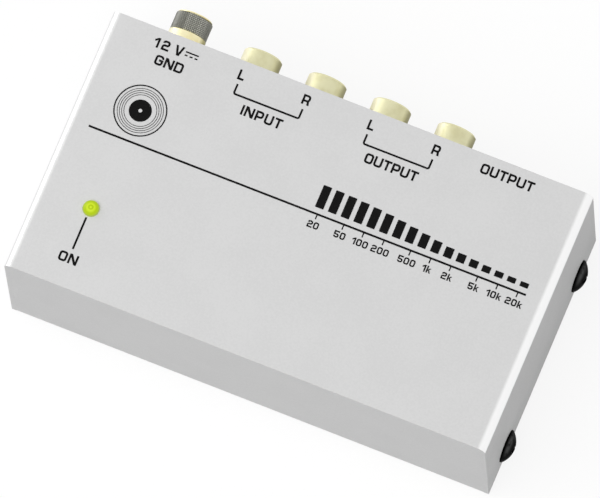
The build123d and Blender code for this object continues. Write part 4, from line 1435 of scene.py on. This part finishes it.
@dataclass
class Viewpoint:
    """The camera: where it looks, from which side and how far."""

    aim: tuple[float, float, float] = (-0.501, -3.097, 18.2)
    azimuth: float = 29.115
    elevation: float = 73.979
    roll: float = -6.956
    distance: float = 3565.2
    lens: float = 1054.5

    def build(self) -> None:
        """Make the camera and set it as the scene's."""
        data = bpy.data.cameras.new("viewpoint")
        data.lens = self.lens
        data.sensor_width = 36.0
        data.sensor_fit = "HORIZONTAL"
        data.clip_start, data.clip_end = 0.1, 100.0
        camera = placed("viewpoint", data)
        turn = Matrix.Rotation(math.radians(self.azimuth), 4, "Z")
        tilt = Matrix.Rotation(math.radians(90 - self.elevation), 4, "X")
        roll = Matrix.Rotation(math.radians(self.roll), 4, "Z")
        back = Matrix.Translation((0, 0, self.distance * MM))
        camera.matrix_world = Matrix.Translation(Vector(self.aim) * MM) @ turn @ tilt @ back @ roll
        bpy.context.scene.camera = camera


@dataclass
class Lamp:
    """A soft rectangular lamp that looks at the object. Its lengths are in metres."""

    name: str
    direction: tuple[float, float, float]
    distance: float
    size: Point
    power: float
    mirrored: bool = True

    def build(self) -> None:
        """Make the lamp."""
        data = bpy.data.lights.new(self.name, "AREA")
        data.shape = "RECTANGLE"
        data.size, data.size_y = self.size
        data.energy = self.power
        obj = placed(self.name, data)
        obj.visible_glossy = self.mirrored
        away = Vector(self.direction).normalized()
        facing = away.to_track_quat("Z", "Y").to_matrix().to_4x4()
        obj.matrix_world = Matrix.Translation(away * self.distance) @ facing


@dataclass
class Studio:
    """Pale floor, even surroundings and soft lamps."""

    floor_size: float = 8.0  # metres
    floor_colour: str = "CFCFCF"
    floor_show: float = 0.87
    ambient: float = 0.31
    lamps: tuple[Lamp, ...] = (
        Lamp("key", (-0.3, -0.37, 0.85), 1.8, (2.0, 2.0), 30.5, mirrored=False),
        Lamp("fill", (0.9, -0.15, 0.3), 1.8, (1.4, 1.4), 3.6, mirrored=False),
        Lamp("side", (-0.92, 0.24, 0.27), 1.4, (1.2, 0.74), 5.0),
    )

    def build(self) -> None:
        """Make the floor, the surroundings and the lamps."""
        self.floor()
        self.surroundings()
        for lamp in self.lamps:
            lamp.build()
        bpy.context.scene.view_settings.view_transform = "Standard"

    @staticmethod
    def seen(add: Adder) -> Socket:
        """Tell rays that show a surface from rays that only carry its light.

        Args:
            add: Adds a node.

        Returns:
            1 for rays from the camera, in a reflection or through glass, else 0.
        """
        path = add("LightPath", {})
        total = path["Is Camera Ray"]
        for other in ("Is Glossy Ray", "Is Transmission Ray"):
            total = add("Math", {0: total, 1: path[other]}, operation="ADD", use_clamp=True)[0]
        return total

    def floor(self) -> None:
        """Make a wide pale floor that keeps the object's shadow and is clear from below."""
        bm = bmesh.new()
        bmesh.ops.create_grid(bm, x_segments=1, y_segments=1, size=self.floor_size / 2)
        mesh = bpy.data.meshes.new("floor")
        bm.to_mesh(mesh)
        bm.free()
        floor = placed("floor", mesh)
        paper = bpy.data.materials.new("studio_paper")
        add = emptied(paper)
        seen = self.seen(add)
        tint = add("Mix", {FACTOR: seen, FIRST: self.floor_colour, SECOND: "FFFFFF"}, **COLOURS)[MIXED]
        matt = add("BsdfDiffuse", {"Color": tint})[0]
        white = add("Emission", {"Color": "FFFFFF", "Strength": 1.0})[0]
        part = add("Math", {0: seen, 1: self.floor_show}, operation="MULTIPLY")[0]
        lit = add("MixShader", {0: part, 1: matt, 2: white})[0]
        under = add("NewGeometry", {})["Backfacing"]
        clear = add("BsdfTransparent", {})[0]
        both = add("MixShader", {0: under, 1: lit, 2: clear})[0]
        add("OutputMaterial", {"Surface": both})
        mesh.materials.append(paper)

    def surroundings(self) -> None:
        """Make an even light from all round, seen as white."""
        world = bpy.data.worlds.new("surroundings")
        add = emptied(world)
        strength = add("MapRange", {"Value": self.seen(add), "To Min": self.ambient, "To Max": 1.0})[0]
        sky = add("Background", {"Color": "FFFFFF", "Strength": strength})[0]
        add("OutputWorld", {"Surface": sky})
        bpy.context.scene.world = world


def main() -> None:
    """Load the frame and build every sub-assembly."""
    logging.basicConfig(level=logging.INFO, format="%(message)s")
    frame = Frame(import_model()["nodes"])
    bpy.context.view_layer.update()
    Viewpoint().build()
    Studio().build()
    for part in (SteelCase, SignalLamp, GroundTerminal, PhonoJacks, PanelSockets, Circuit, TopPrint):
        part(frame).build()
        log.info("%s is built", part.__name__)


if __name__ == "__main__":
    main()
